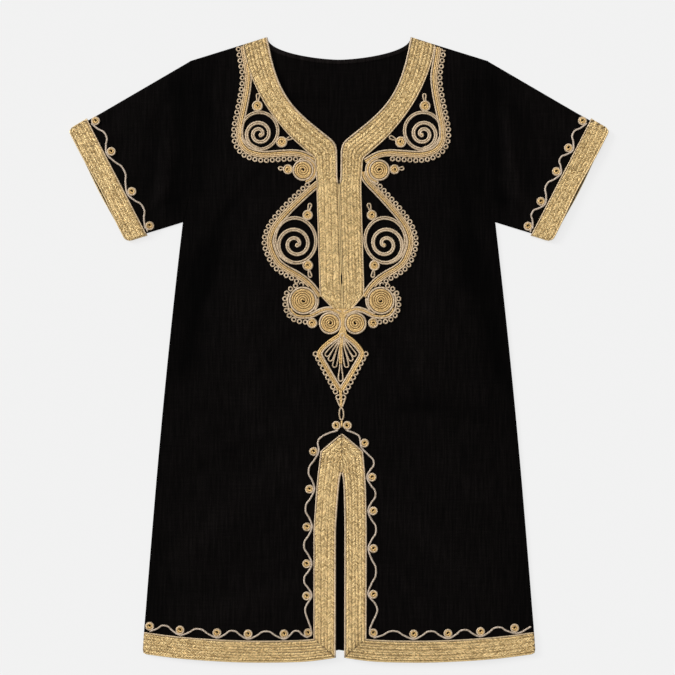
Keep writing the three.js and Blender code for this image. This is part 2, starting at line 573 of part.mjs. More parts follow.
// Three cords side by side with a row of small loops along one edge.
const LOOP = { pitch: 7.3, reach: 5.4 };
const FRAME_WIDTH = 8.6;
function loopedFrame(points, { from = 0, to = 1 } = {}) {
  const curve = new THREE.SplineCurve(points.map(([x, y]) => new THREE.Vector2(x, y)));
  const count = Math.round(curve.getLength() / LOOP.pitch);
  const middle = curve.getSpacedPoints(count * 2);
  const across = normals(middle);
  const outside = middle.map((p, i) => {
    const looped = i / middle.length >= from && i / middle.length <= to && i % 2 === 1;
    const d = FRAME_WIDTH / 2 + (looped ? LOOP.reach : 0.4);
    return { x: p.x + across[i].x * d, y: p.y + across[i].y * d };
  });
  const inside = offset(middle, -FRAME_WIDTH / 2).filter((_, i) => i % 2 === 0);
  return prism(shapeOf([...inside, ...outside.reverse()]));
}

// Lays flat solids on a surface: every point moves up by the height there, and leans with the centre line.
function laidOn(solid, side, surface) {
  const { vertProperties, triVerts, numProp } = solid.getMesh();
  const positions = [];
  const put = (i) => {
    const [x, y, z] = vertProperties.subarray(i * numProp, i * numProp + 3);
    const placed = side * x + lean(x, y);
    positions.push(placed, y, surface(placed, y) + TRIM_GAP + z);
  };
  for (let i = 0; i < triVerts.length; i += 3) {
    const [a, b, c] = triVerts.subarray(i, i + 3);
    (side > 0 ? [a, b, c] : [a, c, b]).forEach(put);
  }
  return new THREE.BufferGeometry().setAttribute("position", new THREE.Float32BufferAttribute(positions, 3));
}
const together = (solids) => solids.reduce((all, solid) => all.add(solid));

// The neck braid's place, a little larger, which cordwork is kept out of.
const KEEP_OUT = cutter(shapeOf([
  { x: -60, y: 395 }, ...NECK_EDGE.map(({ outX, outY }) => ({ x: outX + 0.5, y: outY - 0.3 })),
  { x: PLACKET.edge + 0.5, y: 209 }, { x: PLACKET.edge + 0.5, y: PLACKET.shoulder - 0.3 },
  { x: PLACKET.tipHalf + 0.4, y: PLACKET.tip - 0.5 }, { x: -60, y: PLACKET.tip - 0.5 },
]));

const UPPER_FRAME = [
  [120.5, 372], [117.8, 355], [115.8, 340], [117, 325], [119.5, 310], [123, 293], [126.3, 276], [126, 262],
  [121.5, 252.5], [113, 246.3], [98, 243], [78, 244], [60, 244.8], [46, 242.3], [30, 233.5],
];
const LOWER_FRAME = [
  [28, 205.5], [36, 198.6], [49, 187], [63.5, 173], [76.2, 159], [83.5, 148], [87.4, 135], [84.5, 121.5],
  [77.8, 108.5], [68, 100.5], [57, 94.5], [46.5, 87.5], [34, 77],
];
const UPPER_SHIFT = 2.8; // both upper scrolls sit this far towards +X
// Rings with their spirals: from is the spiral's first radius, and pitch what it loses in a turn.
const UPPER_SPIRAL = {
  x: 102, y: 272.5, radius: 25.2, stretch: 1, drop: 3.9, from: 17.9, pitch: 7.9, start: 0.75, turns: 1.85,
};
const LOWER_SPIRAL = {
  x: 56, y: 136, radius: 27.6, stretch: 1.1, drop: 4.6, from: 23.5, pitch: 10.8, start: 0.75, turns: 1.85,
};
const LOW_ROSETTE = { x: 48.5, y: 61, radius: 18 };

const UPPER_ROSETTES = [
  { x: 104.5, y: 303.5, radius: 6.8, loop: 0.26, reach: 9 },
  { x: 74.2, y: 258.6, radius: 7, loop: 0.43, reach: 9 },
  { x: 47.5, y: 223.5, radius: 13.4 },
  { x: 66.4, y: 224.5, radius: 6.2, loop: 0.02, reach: 6 },
];
const LOWER_ROSETTES = [
  { x: 40, y: 167.5, radius: 6.4, loop: 0.29, reach: 9 },
  { x: 41.5, y: 104.8, radius: 6.6, loop: 0.72, reach: 9 },
];
const UPPER_LINK = [{ x: 44, y: 239 }, { x: 45, y: 232 }]; // from the frame to the large rosette below it

function upperScroll(side) {
  const moved = (p) => ({ ...p, x: p.x + side * UPPER_SHIFT });
  return together([
    loopedFrame(UPPER_FRAME.map(([x, y]) => [x + side * UPPER_SHIFT, y]), { to: 0.87 }),
    spiral(moved(UPPER_SPIRAL)),
    ribbon(UPPER_LINK.map(moved), 7),
    ...UPPER_ROSETTES.map(moved).map(rosette),
  ]).subtract(KEEP_OUT);
}

const lowerScroll = () => together([
  loopedFrame(LOWER_FRAME, { from: 0.06, to: 0.9 }), spiral(LOWER_SPIRAL), ...LOWER_ROSETTES.map(rosette),
]).subtract(KEEP_OUT).subtract(cutter(round(LOW_ROSETTE.x, LOW_ROSETTE.y, LOW_ROSETTE.radius + 1.5, 20)));

function lowRosette() {
  const arc = (radius, from, to, count) => [...Array(count + 1).keys()].map((i) => {
    const a = turn(mix(from, to, i / count));
    return [LOW_ROSETTE.x + radius * Math.cos(a), LOW_ROSETTE.y + radius * Math.sin(a)];
  });
  const skirt = arc(LOW_ROSETTE.radius + 1.2, 0.17, -0.3, 9);
  const tail = smoothLine([[8, 46.5], [17, 50], [27, 47.5], [38, 41], [48, 40]], 8);
  return together([
    disc(LOW_ROSETTE.x, LOW_ROSETTE.y, LOW_ROSETTE.radius, 18),
    loopedSkirt(skirt),
    ribbon(tail, 2 * CORD.width),
    rosette({ x: 37, y: 30.5, radius: 6.2 }),
    ribbon([{ x: 38, y: 34 }, { x: 41, y: 42 }], 4),
    rosette({ x: 16.2, y: 32.8, radius: 13.6 }),
    ribbon([{ x: 24, y: 33 }, { x: 34, y: 31 }], 4),
    ribbon([{ x: 10, y: 40 }, { x: 9, y: 46 }], 6),
  ]).subtract(KEEP_OUT).subtract(CENTRE_CUT);
}
function loopedSkirt(points) {
  const curve = new THREE.SplineCurve(points.map(([x, y]) => new THREE.Vector2(x, y)));
  const count = Math.round(curve.getLength() / LOOP.pitch);
  const middle = curve.getSpacedPoints(count * 2);
  const out = offset(middle, 1).map((p, i) => (i % 2 === 0 ? p : offset(middle, LOOP.reach + 1.6)[i]));
  return prism(shapeOf([...offset(middle, -2), ...out.reverse()]));
}
// A plane cut just right of the centre line, so that left and right cordwork stay apart.
const CENTRE_CUT = cutter(shapeOf([
  { x: -60, y: -60 }, { x: 0.2, y: -60 }, { x: 0.2, y: 60 }, { x: -60, y: 60 },
]));

// Half the pendant's frame from its top to its tip, the tips of its fan of loops, and its row of rings.
const DIAMOND = [
  [3, 17], [12, 11], [19.5, 4.5], [24.5, -1.5], [26, -5.5], [24, -10.5], [18, -21], [9, -36.5], [0.6, -50],
];
const FAN_ROOT = { x: 0, y: 14, radius: 8 };
const FAN_TIPS = [{ x: 18, y: -6.5 }, { x: 13.5, y: -12.5 }, { x: 7.8, y: -20.5 }];
const FAN_CENTRE = { x: 0, y: -36 };
const RINGS = { count: 9, first: { x: 31.4, y: -5.5 }, last: { x: 6.4, y: -52.5 }, radius: 3.6 };
const HEART = { x: 3.4, y: -60, radius: 3.6, top: -46, tail: -71.5 };
function pendant() {
  const solids = [disc(FAN_ROOT.x, FAN_ROOT.y, FAN_ROOT.radius)];
  const fan = (tip) => solids.push(ribbon([FAN_ROOT, tip], 4.4), disc(tip.x, tip.y, 3, 5));
  for (const s of [-1, 1]) {
    solids.push(ribbon(smoothLine(DIAMOND.map(([x, y]) => [s * x, y]), 14), 7.4));
    for (let i = 0; i < RINGS.count; i++) {
      const p = mixPoint(RINGS.first, RINGS.last, i / (RINGS.count - 1));
      solids.push(disc(s * p.x, p.y, RINGS.radius, 5));
    }
    FAN_TIPS.forEach(({ x, y }) => fan({ x: s * x, y }));
    solids.push(disc(s * HEART.x, HEART.y, HEART.radius, 8));
  }
  fan(FAN_CENTRE);
  const heart = { x: 0, y: HEART.y };
  solids.push(ribbon([{ x: 0, y: HEART.top }, heart], 5), ribbon([heart, { x: 0, y: HEART.tail }], 3.6));
  return together(solids).subtract(LOW_KEEP_OUT);
}
// Room for the pair of coils above the pendant.
const LOW_KEEP_OUT = together([16.2, -16.2].map((x) => cutter(round(x, 32.8, 14.1, 16))));

// The link between pendant and vent, and the two coils that the vent's cords start from.
const LINK = { y: -80.2, half: 8, width: 3.4, coilX: 6.8, coilY: -94.6, coil: 5.6 };
function link() {
  const ring = shapeOf([...Array(12).keys()].map((i) => ({
    x: LINK.width * Math.sin(turn(i / 12)), y: LINK.y + LINK.half * Math.cos(turn(i / 12)),
  })));
  return together([
    prism(ring), ribbon([{ x: 0, y: LINK.y }, { x: 0, y: LINK.coilY }], 4),
    disc(-LINK.coilX, LINK.coilY, LINK.coil), disc(LINK.coilX, LINK.coilY, LINK.coil),
    ribbon([{ x: -4, y: LINK.coilY }, { x: 4, y: LINK.coilY }], 4),
  ]);
}

// The wavy cord's distances from the braid's edge, its coils' radius, and its way out between two coils.
const WAVE = { near: 2, swing: 11.5, stand: 8.3, coil: 5.5 };
const WAVE_STEPS = [
  { t: 0.24, out: 0.45 }, { t: 0.4, out: 0.95 }, { t: 0.6, out: 0.95 }, { t: 0.76, out: 0.45 },
];
// A wavy cord beside a braid: it touches the braid below each coiled rosette and swings out between them.
// edge(s) gives the braid's edge and out(s) the way out of it at distance s; stops are the rosettes' places.
function wavyCord({ edge, out, stops, start = [], end = [] }) {
  const solids = [];
  const line = [...start];
  const at = (s, distance) => {
    const [p, o] = [edge(s), out(s)];
    return { x: p.x + o.x * distance, y: p.y + o.y * distance };
  };
  stops.forEach((s, i) => {
    line.push(at(s, WAVE.near));
    const step = stops[i + 1] - s;
    if (i + 1 < stops.length)
      line.push(...WAVE_STEPS.map((place) => at(s + step * place.t, mix(WAVE.near, WAVE.swing, place.out))));
    const middle = at(s, WAVE.stand);
    solids.push(disc(middle.x, middle.y, WAVE.coil, 8));
  });
  return together([ribbon([...line, ...end], CORD.width), ...solids]);
}

// Where the coils stand along each braid: y beside the vent, x along the hem, and the way down the cuff.
const COILS = {
  left: {
    vent: [-127, -174, -221, -267, -307],
    hem: [39.6, 69.5, 114, 152.5, 198, 236],
    cuff: [5.5, 47, 103, 151],
  },
  right: {
    vent: [-123, -159, -201, -248, -305],
    hem: [41.5, 92, 135, 176, 219],
    cuff: [5.5, 42, 75, 117, 152],
  },
};
// The cords' ends: over the arch from the link's coils, and out to the side seam along the hem.
const CORD_ENDS = {
  left: {
    arch: [{ x: 8.5, y: -102 }, { x: 16, y: -104 }, { x: 25, y: -108.5 }, { x: 30, y: -115 }],
    side: [],
  },
  right: {
    arch: [{ x: 8.5, y: -102 }, { x: 16, y: -104.5 }, { x: 22, y: -109 }],
    side: [{ x: 229, y: -347 }, { x: 239, y: -347 }],
  },
};
const CORNER_COIL = { x: 41.5, y: -340 }; // the hem cord's first coil, which the vent's cord runs down to

// The vent braid's outer edge at a height, and the way out of it, down the arch's slope and then the side.
const SLOPE_FALL = VENT_BAND.apex - ARCH_SHOULDER.y;
const SLOPE_LENGTH = Math.hypot(ARCH_SHOULDER.x, SLOPE_FALL);
function ventEdge(y) {
  const x = y < ARCH_SHOULDER.y ? ventOuter(y) : (ARCH_SHOULDER.x * (VENT_BAND.apex - y)) / SLOPE_FALL;
  return { x, y };
}
const ventOut = (y) => (y < ARCH_SHOULDER.y ? { x: 1, y: 0 }
  : { x: SLOPE_FALL / SLOPE_LENGTH, y: ARCH_SHOULDER.x / SLOPE_LENGTH });
function ventCord(name) {
  const stops = COILS[name].vent;
  const down = (share) => mix(stops[stops.length - 1], CORNER_COIL.y, share);
  return wavyCord({
    edge: ventEdge, out: ventOut, stops, start: CORD_ENDS[name].arch,
    end: [{ x: 39.5, y: down(0.3) }, { x: 43, y: down(0.65) }, CORNER_COIL],
  });
}
function hemCord(name) {
  const cord = wavyCord({
    edge: (x) => ({ x, y: hemTop(x) }), out: () => ({ x: 0, y: 1 }), stops: COILS[name].hem,
    end: CORD_ENDS[name].side,
  });
  const [from, to, low, high] = [outerEdge(hemTop(HEM_HALF)) - 1, HEM_HALF + 50, -380, -320];
  const beyond = [{ x: from, y: low }, { x: to, y: low }, { x: to, y: high }, { x: from, y: high }];
  return cord.subtract(cutter(shapeOf(beyond)));
}
function cuffCord(name) {
  const base = { x: CUFF.top.x + CUFF_NORMAL.x * BRAID_WIDTH, y: CUFF.top.y + CUFF_NORMAL.y * BRAID_WIDTH };
  return wavyCord({
    edge: (s) => ({ x: base.x + CUFF_DOWN.x * s, y: base.y + CUFF_DOWN.y * s }), out: () => CUFF_NORMAL,
    stops: COILS[name].cuff,
  });
}

// ---- The garment ----
const BLACK = new THREE.MeshStandardMaterial({ color: 0x0b0a0b, roughness: 0.95, metalness: 0 });
const GOLD = new THREE.MeshStandardMaterial({ color: 0xd2b06a, roughness: 0.55, metalness: 0.25 });
const CORD_GOLD = new THREE.MeshStandardMaterial({ color: 0xd9bd85, roughness: 0.6, metalness: 0.2 });

const gandoura = new THREE.Group();
const add = (name, geometry, material) => {
  const mesh = new THREE.Mesh(geometry, material);
  mesh.name = name;
  gandoura.add(mesh);
};

add("front", wallOf(FRONT_NET.vertices, FRONT_NET.faces), BLACK);
add("back", wallOf(BACK_NET.vertices, BACK_NET.faces), BLACK);
add("hem_band_back", backHemBand(), GOLD);
add("pendant", laidOn(pendant(), 1, frontTop), CORD_GOLD);
add("link", laidOn(link(), 1, frontTop), CORD_GOLD);
for (const [name, side] of [["left", -1], ["right", 1]]) {
  const { geometry, top } = sleeve(side);
  add("sleeve_" + name, geometry, BLACK);
  add("cuff_band_" + name, cuffBand(side, top), GOLD);
  add("neck_band_" + name, neckBand(side), GOLD);
  add("vent_band_" + name, ventBand(side), GOLD);
  add("hem_band_" + name, hemBand(side), GOLD);
  add("scroll_upper_" + name, laidOn(upperScroll(side), side, frontTop), CORD_GOLD);
  add("scroll_lower_" + name, laidOn(lowerScroll(), side, frontTop), CORD_GOLD);
  add("rosette_" + name, laidOn(lowRosette(), side, frontTop), CORD_GOLD);
  add("vent_cord_" + name, laidOn(ventCord(name), side, frontTop), CORD_GOLD);
  add("hem_cord_" + name, laidOn(hemCord(name), side, frontTop), CORD_GOLD);
  add("cuff_cord_" + name, laidOn(cuffCord(name), side, top), CORD_GOLD);
}

export default gandoura;
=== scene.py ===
"""A child's short-sleeved gandoura laid flat: black cotton, gold plaited braid and couched gold cord."""

import math

import bmesh
import bpy
import numpy as np
from bpy.props import FloatProperty, FloatVectorProperty, PointerProperty
from bpy.types import Operator, Panel, PropertyGroup
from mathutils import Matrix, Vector


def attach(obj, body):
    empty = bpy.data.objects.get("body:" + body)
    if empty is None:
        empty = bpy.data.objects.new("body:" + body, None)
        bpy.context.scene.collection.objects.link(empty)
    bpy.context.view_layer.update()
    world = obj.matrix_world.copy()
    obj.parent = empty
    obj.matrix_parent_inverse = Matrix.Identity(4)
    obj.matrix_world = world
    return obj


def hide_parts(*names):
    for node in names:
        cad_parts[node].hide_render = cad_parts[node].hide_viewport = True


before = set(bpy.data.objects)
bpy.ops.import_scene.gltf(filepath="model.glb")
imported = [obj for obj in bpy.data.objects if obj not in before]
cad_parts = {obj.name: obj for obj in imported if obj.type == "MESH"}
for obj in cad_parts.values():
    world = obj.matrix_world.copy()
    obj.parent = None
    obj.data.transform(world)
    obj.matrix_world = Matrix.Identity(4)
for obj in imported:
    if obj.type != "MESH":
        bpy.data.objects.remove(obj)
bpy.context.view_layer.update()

bl_info = {
    "name": "Gandoura",
    "version": (1, 0, 0),
    "blender": (4, 5, 0),
    "location": "View3D > Sidebar > Gandoura",
    "description": "A child's gandoura in black cotton with gold braid and couched cord, laid flat",
    "category": "Object",
}

# All tables and functions work in millimetres. A mesh is made in metres.
MM = 0.001
PER_METRE = 1000
SIDES = (("left", -1), ("right", 1))
CHANCE = np.random.default_rng(7)

# ---- The cut: x is the distance from the centre line, y goes up towards the neck ----
NECK = (89.5, 390.0)
SHOULDER = (186.3, 360.0)
UNDERARM = (195.0, 159.0)
HEM_HALF = 244.5
HEM_SIDE_Y = -380.0
SIDE_BOW = 3.5
CUFF_TOP = np.array((337.0, 272.0))
CUFF_BOTTOM = np.array((267.0, 136.5))
BACK_HEM_RISE = 8.0
BACK_NECK_DROP, BACK_NECK_CURVE = 28.0, 0.62
VENT_TOP, VENT_HALF, VENT_RUN, VENT_FLARE = -155.0, 5.2, 70.0, 0.45
SLIT_CLOSED, SLIT_OPEN, SLIT_HALF = 208.0, 215.0, 1.75
ARMHOLE = [UNDERARM, (187, 195), (181.8, 245), (181.5, 300), SHOULDER]
HEM_LINE = [(0, -383), (40, -388.5), (90, -390), (140, -389), (200, -385), (244.5, -379.5)]

# Heights: what a layer of cloth takes up, the gap between layers, the gap under trimming, a braid.
CLOTH = 1.2
GAP = 0.3
TRIM_GAP = 0.25
BRAID = 1.3
BRAID_WIDTH = 27.5
UNDER_LEVEL, UNDER_SQUASH = BRAID - 0.2, 0.8  # a braid that lies face down: where its bed is, and its flatness
# How full the body lies, and over what run it fills out from its edges; how hollow a sleeve is.
LOFT, LOFT_RUN = 2.4, 85.0
HOLLOW = 0.6
BACK_RUN = 40
SLEEVE_LOFT = {"height": 2.2, "sides": 0.22, "armhole": 0.33, "cuff": 0.55}
SLEEVE_CREASES_FADE = (0.35, 0.25)  # from this share of the way to the cuff, and over this share
# How cloth comes down off the braid under it: how far past the braid it stays up, and over what run it falls.
STEP_DOWN = {"back": (1, 24), "front": (20, 50), "sleeve": (1, 22)}

# Half the neckline and, beside it, the outer edge of its braid.
NECK_INNER = [
    (89.5, 390), (86.6, 377), (83.4, 362), (77.2, 341), (68.6, 321.6), (56.6, 304), (41.1, 288.4),
    (22, 272.6), (9.6, 262.6), (4.2, 256.2), (2.2, 248.8),
]
NECK_OUTER = [
    (120.5, 380.2), (117.6, 366), (113.6, 351.5), (105.8, 331.5), (95.2, 310.5), (81.5, 290),
    (62, 266.5), (41.5, 247.5), (32.6, 240), (30.2, 236.4), (29.6, 230),
]
PLACKET_EDGE, PLACKET_SHOULDER, PLACKET_TIP, TIP_HALF = 28.0, 68.0, 50.0, 11.0
SEAM = 0.15
EYELET = (95.0, 92.5, 83.0, 80.5)  # where the placket's seam gapes a little: from its top to its foot
EYELET_HALF = 0.9

# The centre line of the trimming leans a little, less and less towards the sides.
LEAN_Y = (-390, -225, -173, -139, -100, -50, 0, 25, 80, 134, 200, 390)
LEAN_X = (1.2, 1.5, 2.8, 3.5, 3.8, 2, 2.2, 5, 3.6, 2, 0, 0)
LEAN_REACH = 200.0

# Shares of a crease's width: how far it sways, how long its waves are, how far it runs on past its ends.
CREASE_SWAY, CREASE_WAVE, CREASE_FADE = 0.18, 1.7, 2
BROAD_RIPPLE, FINE_RIPPLE = 0.16, 0.1
# Painted light and shade in the cloth's colour: the value where flat, how much lighter for each millimetre of crease
# (darker in a trough), painted shade at the side (at the seam on a sleeve), over what run.
FRONT_PAINTED_SHADE_TABLE = {"flat": 0.56, "crease": 0.2, "side": 0.24, "run": 48}
SLEEVE_PAINTED_SHADE_TABLE = {"flat": 0.56, "crease": 0.2, "seam": 0.2, "run": 0.3}
BACK_PAINTED_SHADE_TABLE = {"flat": 0.5, "crease": 0.3}
PAINTED_SHADE_LIMITS = (0.05, 0.95)
# Creases: side (0 for both), start, end, width of the flank, height (a trough below 0).
FRONT_CREASES = [
    (-1, 158, 340, 160, 262, 9, -1.2), (-1, 128, 205, 158, 160, 14, 1.4), (-1, 138, 190, 168, 95, 16, -2.0),
    (-1, 165, 110, 190, -10, 14, -1.9), (1, 163, 320, 164, 245, 9, -1.0), (1, 146, 215, 168, 90, 15, -2.2),
    (1, 168, 120, 200, -20, 14, -1.8), (-1, 118, 60, 112, -60, 16, 1.1), (1, 110, 100, 106, -10, 16, 1.2),
    (-1, 75, -150, 190, -250, 18, 1.1), (-1, 70, -300, 160, -335, 15, 0.9), (1, 75, -215, 150, -270, 16, 1.1),
    (1, 90, -70, 190, -85, 15, -1.0),
    (-1, 150, 345, 155, 275, 6, 0.8), (-1, 172, 330, 176, 200, 5, -0.9), (1, 172, 330, 176, 200, 5, -0.9),
    (-1, 99, 222, 142, 168, 7, -0.9), (1, 138, 230, 158, 150, 7, 0.9), (1, 176, 150, 182, 60, 8, 0.8),
    (-1, 142, 350, 146, 285, 5, -0.6), (-1, 118, 105, 117, 0, 6, -0.5), (1, 111, 105, 110, 0, 6, -0.5),
    (-1, 45, -152, 92, -178, 6, 0.6), (-1, 47, -196, 88, -226, 6, -0.5), (-1, 46, -246, 80, -262, 5, 0.5),
    (1, 48, -158, 96, -190, 6, 0.6), (1, 47, -214, 86, -236, 6, -0.5), (1, 47, -270, 90, -296, 6, 0.5),
    (1, 76, -76, 112, -74, 5, -0.7), (-1, 140, -78, 176, -72, 6, -0.6), (-1, 60, 20, 110, -40, 9, -0.6),
    (1, 60, 5, 104, -60, 9, -0.6), (-1, 205, -60, 218, -210, 9, 0.8), (1, 205, -90, 220, -250, 9, 0.8),
    (-1, 120, -120, 180, -150, 8, -0.6), (1, 120, -140, 196, -190, 8, 0.6), (-1, 60, -95, 130, -110, 7, 0.5),
]
BACK_CREASES = [
    (0, 150, 330, 158, 180, 12, 0.5), (0, 110, 200, 165, 110, 14, 0.5), (0, 60, 100, 150, -40, 16, 0.45),
    (0, 20, 315, 60, 316, 4, -0.6), (0, 120, -60, 200, -160, 15, 0.5), (0, 40, -150, 140, -230, 14, 0.45),
]
SLEEVE_CREASES = [
    (-1, 196, 325, 204, 185, 12, -1.8), (-1, 207, 320, 238, 205, 12, -1.4), (-1, 200, 330, 222, 180, 10, 1.2),
    (1, 195, 325, 204, 185, 12, -1.9), (1, 218, 305, 240, 210, 12, -1.4), (1, 200, 330, 222, 185, 10, 1.1),
    (-1, 214, 300, 222, 240, 6, 0.8), (1, 208, 296, 214, 226, 6, 0.8), (-1, 232, 285, 250, 225, 6, -0.6),
    (1, 236, 290, 250, 220, 6, -0.6), (0, 199, 215, 240, 178, 6, 0.7), (0, 198, 190, 232, 172, 5, -0.6),
]

# ---- The braid ----
VENT_APEX, VENT_MITRE = -104.0, -139.0
VENT_EDGE = [(-126, 26.6), (-139, 28.4), (-173, 31.1), (-225, 33.3), (-390, 33.1)]  # y, x
ARCH_SHOULDER = (26.6, -126.0)
# Kinds of plait: lanes across the field, slant of a strand, its half length and half width, and its pitch.
PLAITS = {
    "broad": {"lanes": 6, "slant": 50, "half": (3.35, 0.8), "pitch": 1.8},
    "fine": {"lanes": 7, "slant": 40, "half": (3.0, 0.7), "pitch": 1.8},
}
FIELD = (0.075, 0.925)  # the plaited field's share of the braid's width
FIELD_LIMITS = (0.05, 0.95)  # and how far a strand's end may reach past it
# How a strand strays: along and across in millimetres, slant in degrees, length and width in shares, height.
STRAY = {
    "along": 0.14, "across": 0.12, "slant": 5, "long": (0.92, 1.1), "wide": (0.9, 1.12), "rise": (-0.07, 0.1),
}
LANE_SWAY, LANE_WAVE = 0.32, 11
STRAND_RISE, STRAND_HEIGHT = 0.62, 0.72
LANE_MARGIN, STRAND_MARGIN = 0.8, 0.2  # kept clear at both ends of a braid
BEAD_FLAT = -0.25  # where a strand is cut flat below, as a share of its half height
BED = {"step": 3.0, "share": (0.03, 0.97), "columns": 7, "height": 0.55}
EDGE_STEP, EDGE_FLATNESS = 2.2, 0.92
# The cords along a braid's edges: which edge, width, height of the middle, tone, and from where to where.
END = 9999  # past the end of any braid
EDGES = {
    "neck": ((0, 2.3, 0.95, 0.75, 0, 210), (0, 1.5, 0.7, 0.45, 210, END), (1, 1.7, 0.8, 0.66, 0, END)),
    "vent": ((0, 1.5, 0.75, 0.5, 0, 36), (0, 2.2, 0.95, 0.75, 36, END), (1, 1.9, 0.85, 0.74, 0, END)),
    "hem": ((0, 1.9, 0.75, 0.45, 0, END), (1, 1.7, 0.85, 0.7, 0, END)),
    "cuff": ((0, 1.9, 0.75, 0.55, 0, END), (1, 1.7, 0.85, 0.7, 0, END)),
}

# ---- The couched cord ----
GOLD, PALE, ASH = 0.5, 0.75, 1.0  # tones of cord
TUBE_SIDES, TUBE_END = 8, 0.45
TUCK = 1.0  # how far a cord may go under the neck braid
SHOULDER_SPARE = 1.3
FRAME_WIDTH = 8.6
FRAME_TONES = (PALE, GOLD, 0.6, 0.66)  # of the four cords of a frame, from the inner one outwards
FRAME_PARTING = 0.45  # how far the inner cord stands off
RING = {"pitch": 7.2, "out": 3.0, "radius": 2.45, "cord": 1.9}
RING_STEP = 1.35
UPPER_SHIFT = 2.8
UPPER_RINGS_END = {"left": 0.94, "right": 0.87}
UPPER_FRAME = [
    (121.3, 379), (120.5, 372), (117.8, 355), (115.8, 340), (117, 325), (119.5, 310), (123, 293), (126.3, 276),
    (126, 262), (121.5, 252.5), (113, 246.3), (98, 243), (78, 244), (60, 244.8), (46, 242.3), (30, 233.5),
]
# The lower frames differ where they start. Their foot is the same.
LOWER_FRAME = {
    "left": [(21, 211.5), (28, 205.5), (36, 198.6), (49, 187), (63.5, 173), (76.2, 159), (83.5, 148)],
    "right": [
        (30.5, 222), (32.5, 214), (38, 206.5), (47, 197), (57, 186), (69, 172), (78.6, 159.5), (84.6, 148),
    ],
}
FRAME_FOOT = [
    (87.4, 135), (84.5, 121.5), (77.8, 108.5), (68, 100.5), (57, 94.5), (46.5, 87.5), (38, 79.5), (31.5, 71),
    (28, 65),
]
LOWER_RINGS = (0.07, 0.9)
# A ring (x, y, radius, stretch in y) and its spiral: how far below the ring's middle, first radius, pitch.
UPPER_SPIRAL = (102, 272.5, 25.2, 1.0, 3.9, 17.9, 7.9)
LOWER_SPIRAL = (56, 136, 27.6, 1.1, 4.6, 23.5, 10.8)
SPIRAL_START, SPIRAL_TURNS = 0.75, 1.85
# Shares of the cord's width: where the ring's two cords lie in from its rim, how wide they and the spiral's
# cords are, and how far the spiral's two cords lie from its middle line.
SCROLL_RIM, RIM_WIDTH, SPIRAL_WIDTH, SPIRAL_ASIDE = (0.5, 1.6), 0.86, 0.96, 0.53
KNOB_RADIUS, KNOB_BACK = 2.9, 1
# A rosette wider than this has closed outer turns, one for so much of its radius, and a spiral inside them.
BIG_ROSETTE, RADIUS_PER_TURN, TURN_PITCH, ROSETTE_HEART, ROSETTE_START = 9, 6.5, 2.75, 1.3, 0.1
COIL_PITCH, COIL_RIM = 0.95, 0.92  # shares of the cord's width
LOOP_HALF = 2.0
# Coiled rosettes: x, y, radius, then the way (in turns) and the reach of a loop where there is one.
UPPER_ROSETTES = [
    (104.5, 303.5, 6.8, 0.26, 9), (74.2, 258.6, 7, 0.43, 9), (47.5, 223.5, 13.4), (66.4, 224.5, 6.2, 0.02, 6),
]
# Two cords lie round part of the big upper rosette: how far out and their tone, and from where to where.
COLLAR, COLLAR_SPAN, COLLAR_WIDTH = ((1.2, GOLD), (3.3, PALE)), (0.27, 0.72), 2.2
LOWER_ROSETTES = [(40, 167.5, 6.4, 0.29, 9), (41.5, 104.8, 6.6, 0.72, 9)]
LOW_ROSETTE = (48.5, 61, 17.4)
CENTRE_ROSETTE = (15.9, 32.8, 14)
SMALL_ROSETTE = (38, 33, 6.5)
TAIL = [(1.5, 44.5), (8, 47.5), (17, 50.3), (27, 48.2), (37, 43.2), (44, 41.6)]
# How the tail and the foot of the rings go on round the low rosette: direction in degrees, then distance.
TAIL_ROUND = [(-87, 19.6), (-69, 20), (-51, 19.6), (-33, 18.4), (-16, 17.1), (3, 16.7), (23, 16.5), (49, 15.3)]
SKIRT = [
    (75, 17.4), (62, 17.5), (49, 17.9), (23, 19.2), (3, 19.5), (-16, 19.9), (-33, 21.4), (-51, 22.8),
    (-69, 23.7), (-89, 23.6), (-104, 24.6),
]
CRADLE = [(170, 18.7), (183, 18.6), (200, 18.6), (222, 18.7)]  # one cord of the frame, on its inner side
TAIL_CORDS = ((-2.3, PALE), (0, GOLD), (2.3, PALE))  # how far each lies from the middle line, and its tone
TAIL_CLEAR, FRAME_CLEAR, PENDANT_CLEAR = 0.8, 0.6, 0.3  # how far each keeps off a rosette's rim

DIAMOND = [
    (3, 17), (12, 11), (19.5, 4.5), (24.5, -1.5), (26, -5.5), (24, -10.5), (18, -21), (9, -36.5), (0.6, -50),
]
DIAMOND_CORDS, DIAMOND_WIDTH = (-2.3, 0.0, 2.3), 2.4
FAN_ROOT = (0, 16)
FAN_TIPS = [(18.36, -8.1), (13.77, -14.1), (7.956, -22.1)]
FAN_LOOP = {"half": 2.6, "width": 1.7, "foot": 1.1}
DROP = {"root": (0, -18), "tip": (0, -39.5), "half": 2.9, "width": 1.8, "foot": 1.0}
PENDANT_RINGS = {"count": 9, "first": (31.4, -5.5), "last": (6.4, -52.5)}
HEART_SIDE = [(5.6, -60.5), (3.6, -66), (0.9, -72)]
HEART = {"x": 3.2, "y": -59.5, "radius": 2.7}
# The stem's cords on one side: down the heart, and down the middle of the fan.
HEART_STEM, FAN_STEM = [(1.0, -49), (0.8, -58), (0.6, -72)], [(1.0, 20), (1.0, 0), (1.0, -18.5)]
# The sheaf above the fan: how wide each cord starts, then its line as shares of that width, and heights.
SHEAF = (1.0, 3.2, 5.4, 7.6, 9.8)
SHEAF_LINE = [(1, 50.5), (1, 47), (0.75, 42.5), (0.36, 33), (0.3, 24), (0.6, 17)]
SHEAF_TIE = [(-12, 50.2), (0, 50), (12, 50.2)]
FAN_KNOT = (0, 17.5, 3.8)
LINK = {"y": -80.2, "half": 7.6, "width": 2.7, "coil": (6.8, -94.6, 5.6)}
LINK_STEM = [(0, -88), (0, -91), (0, -97)]

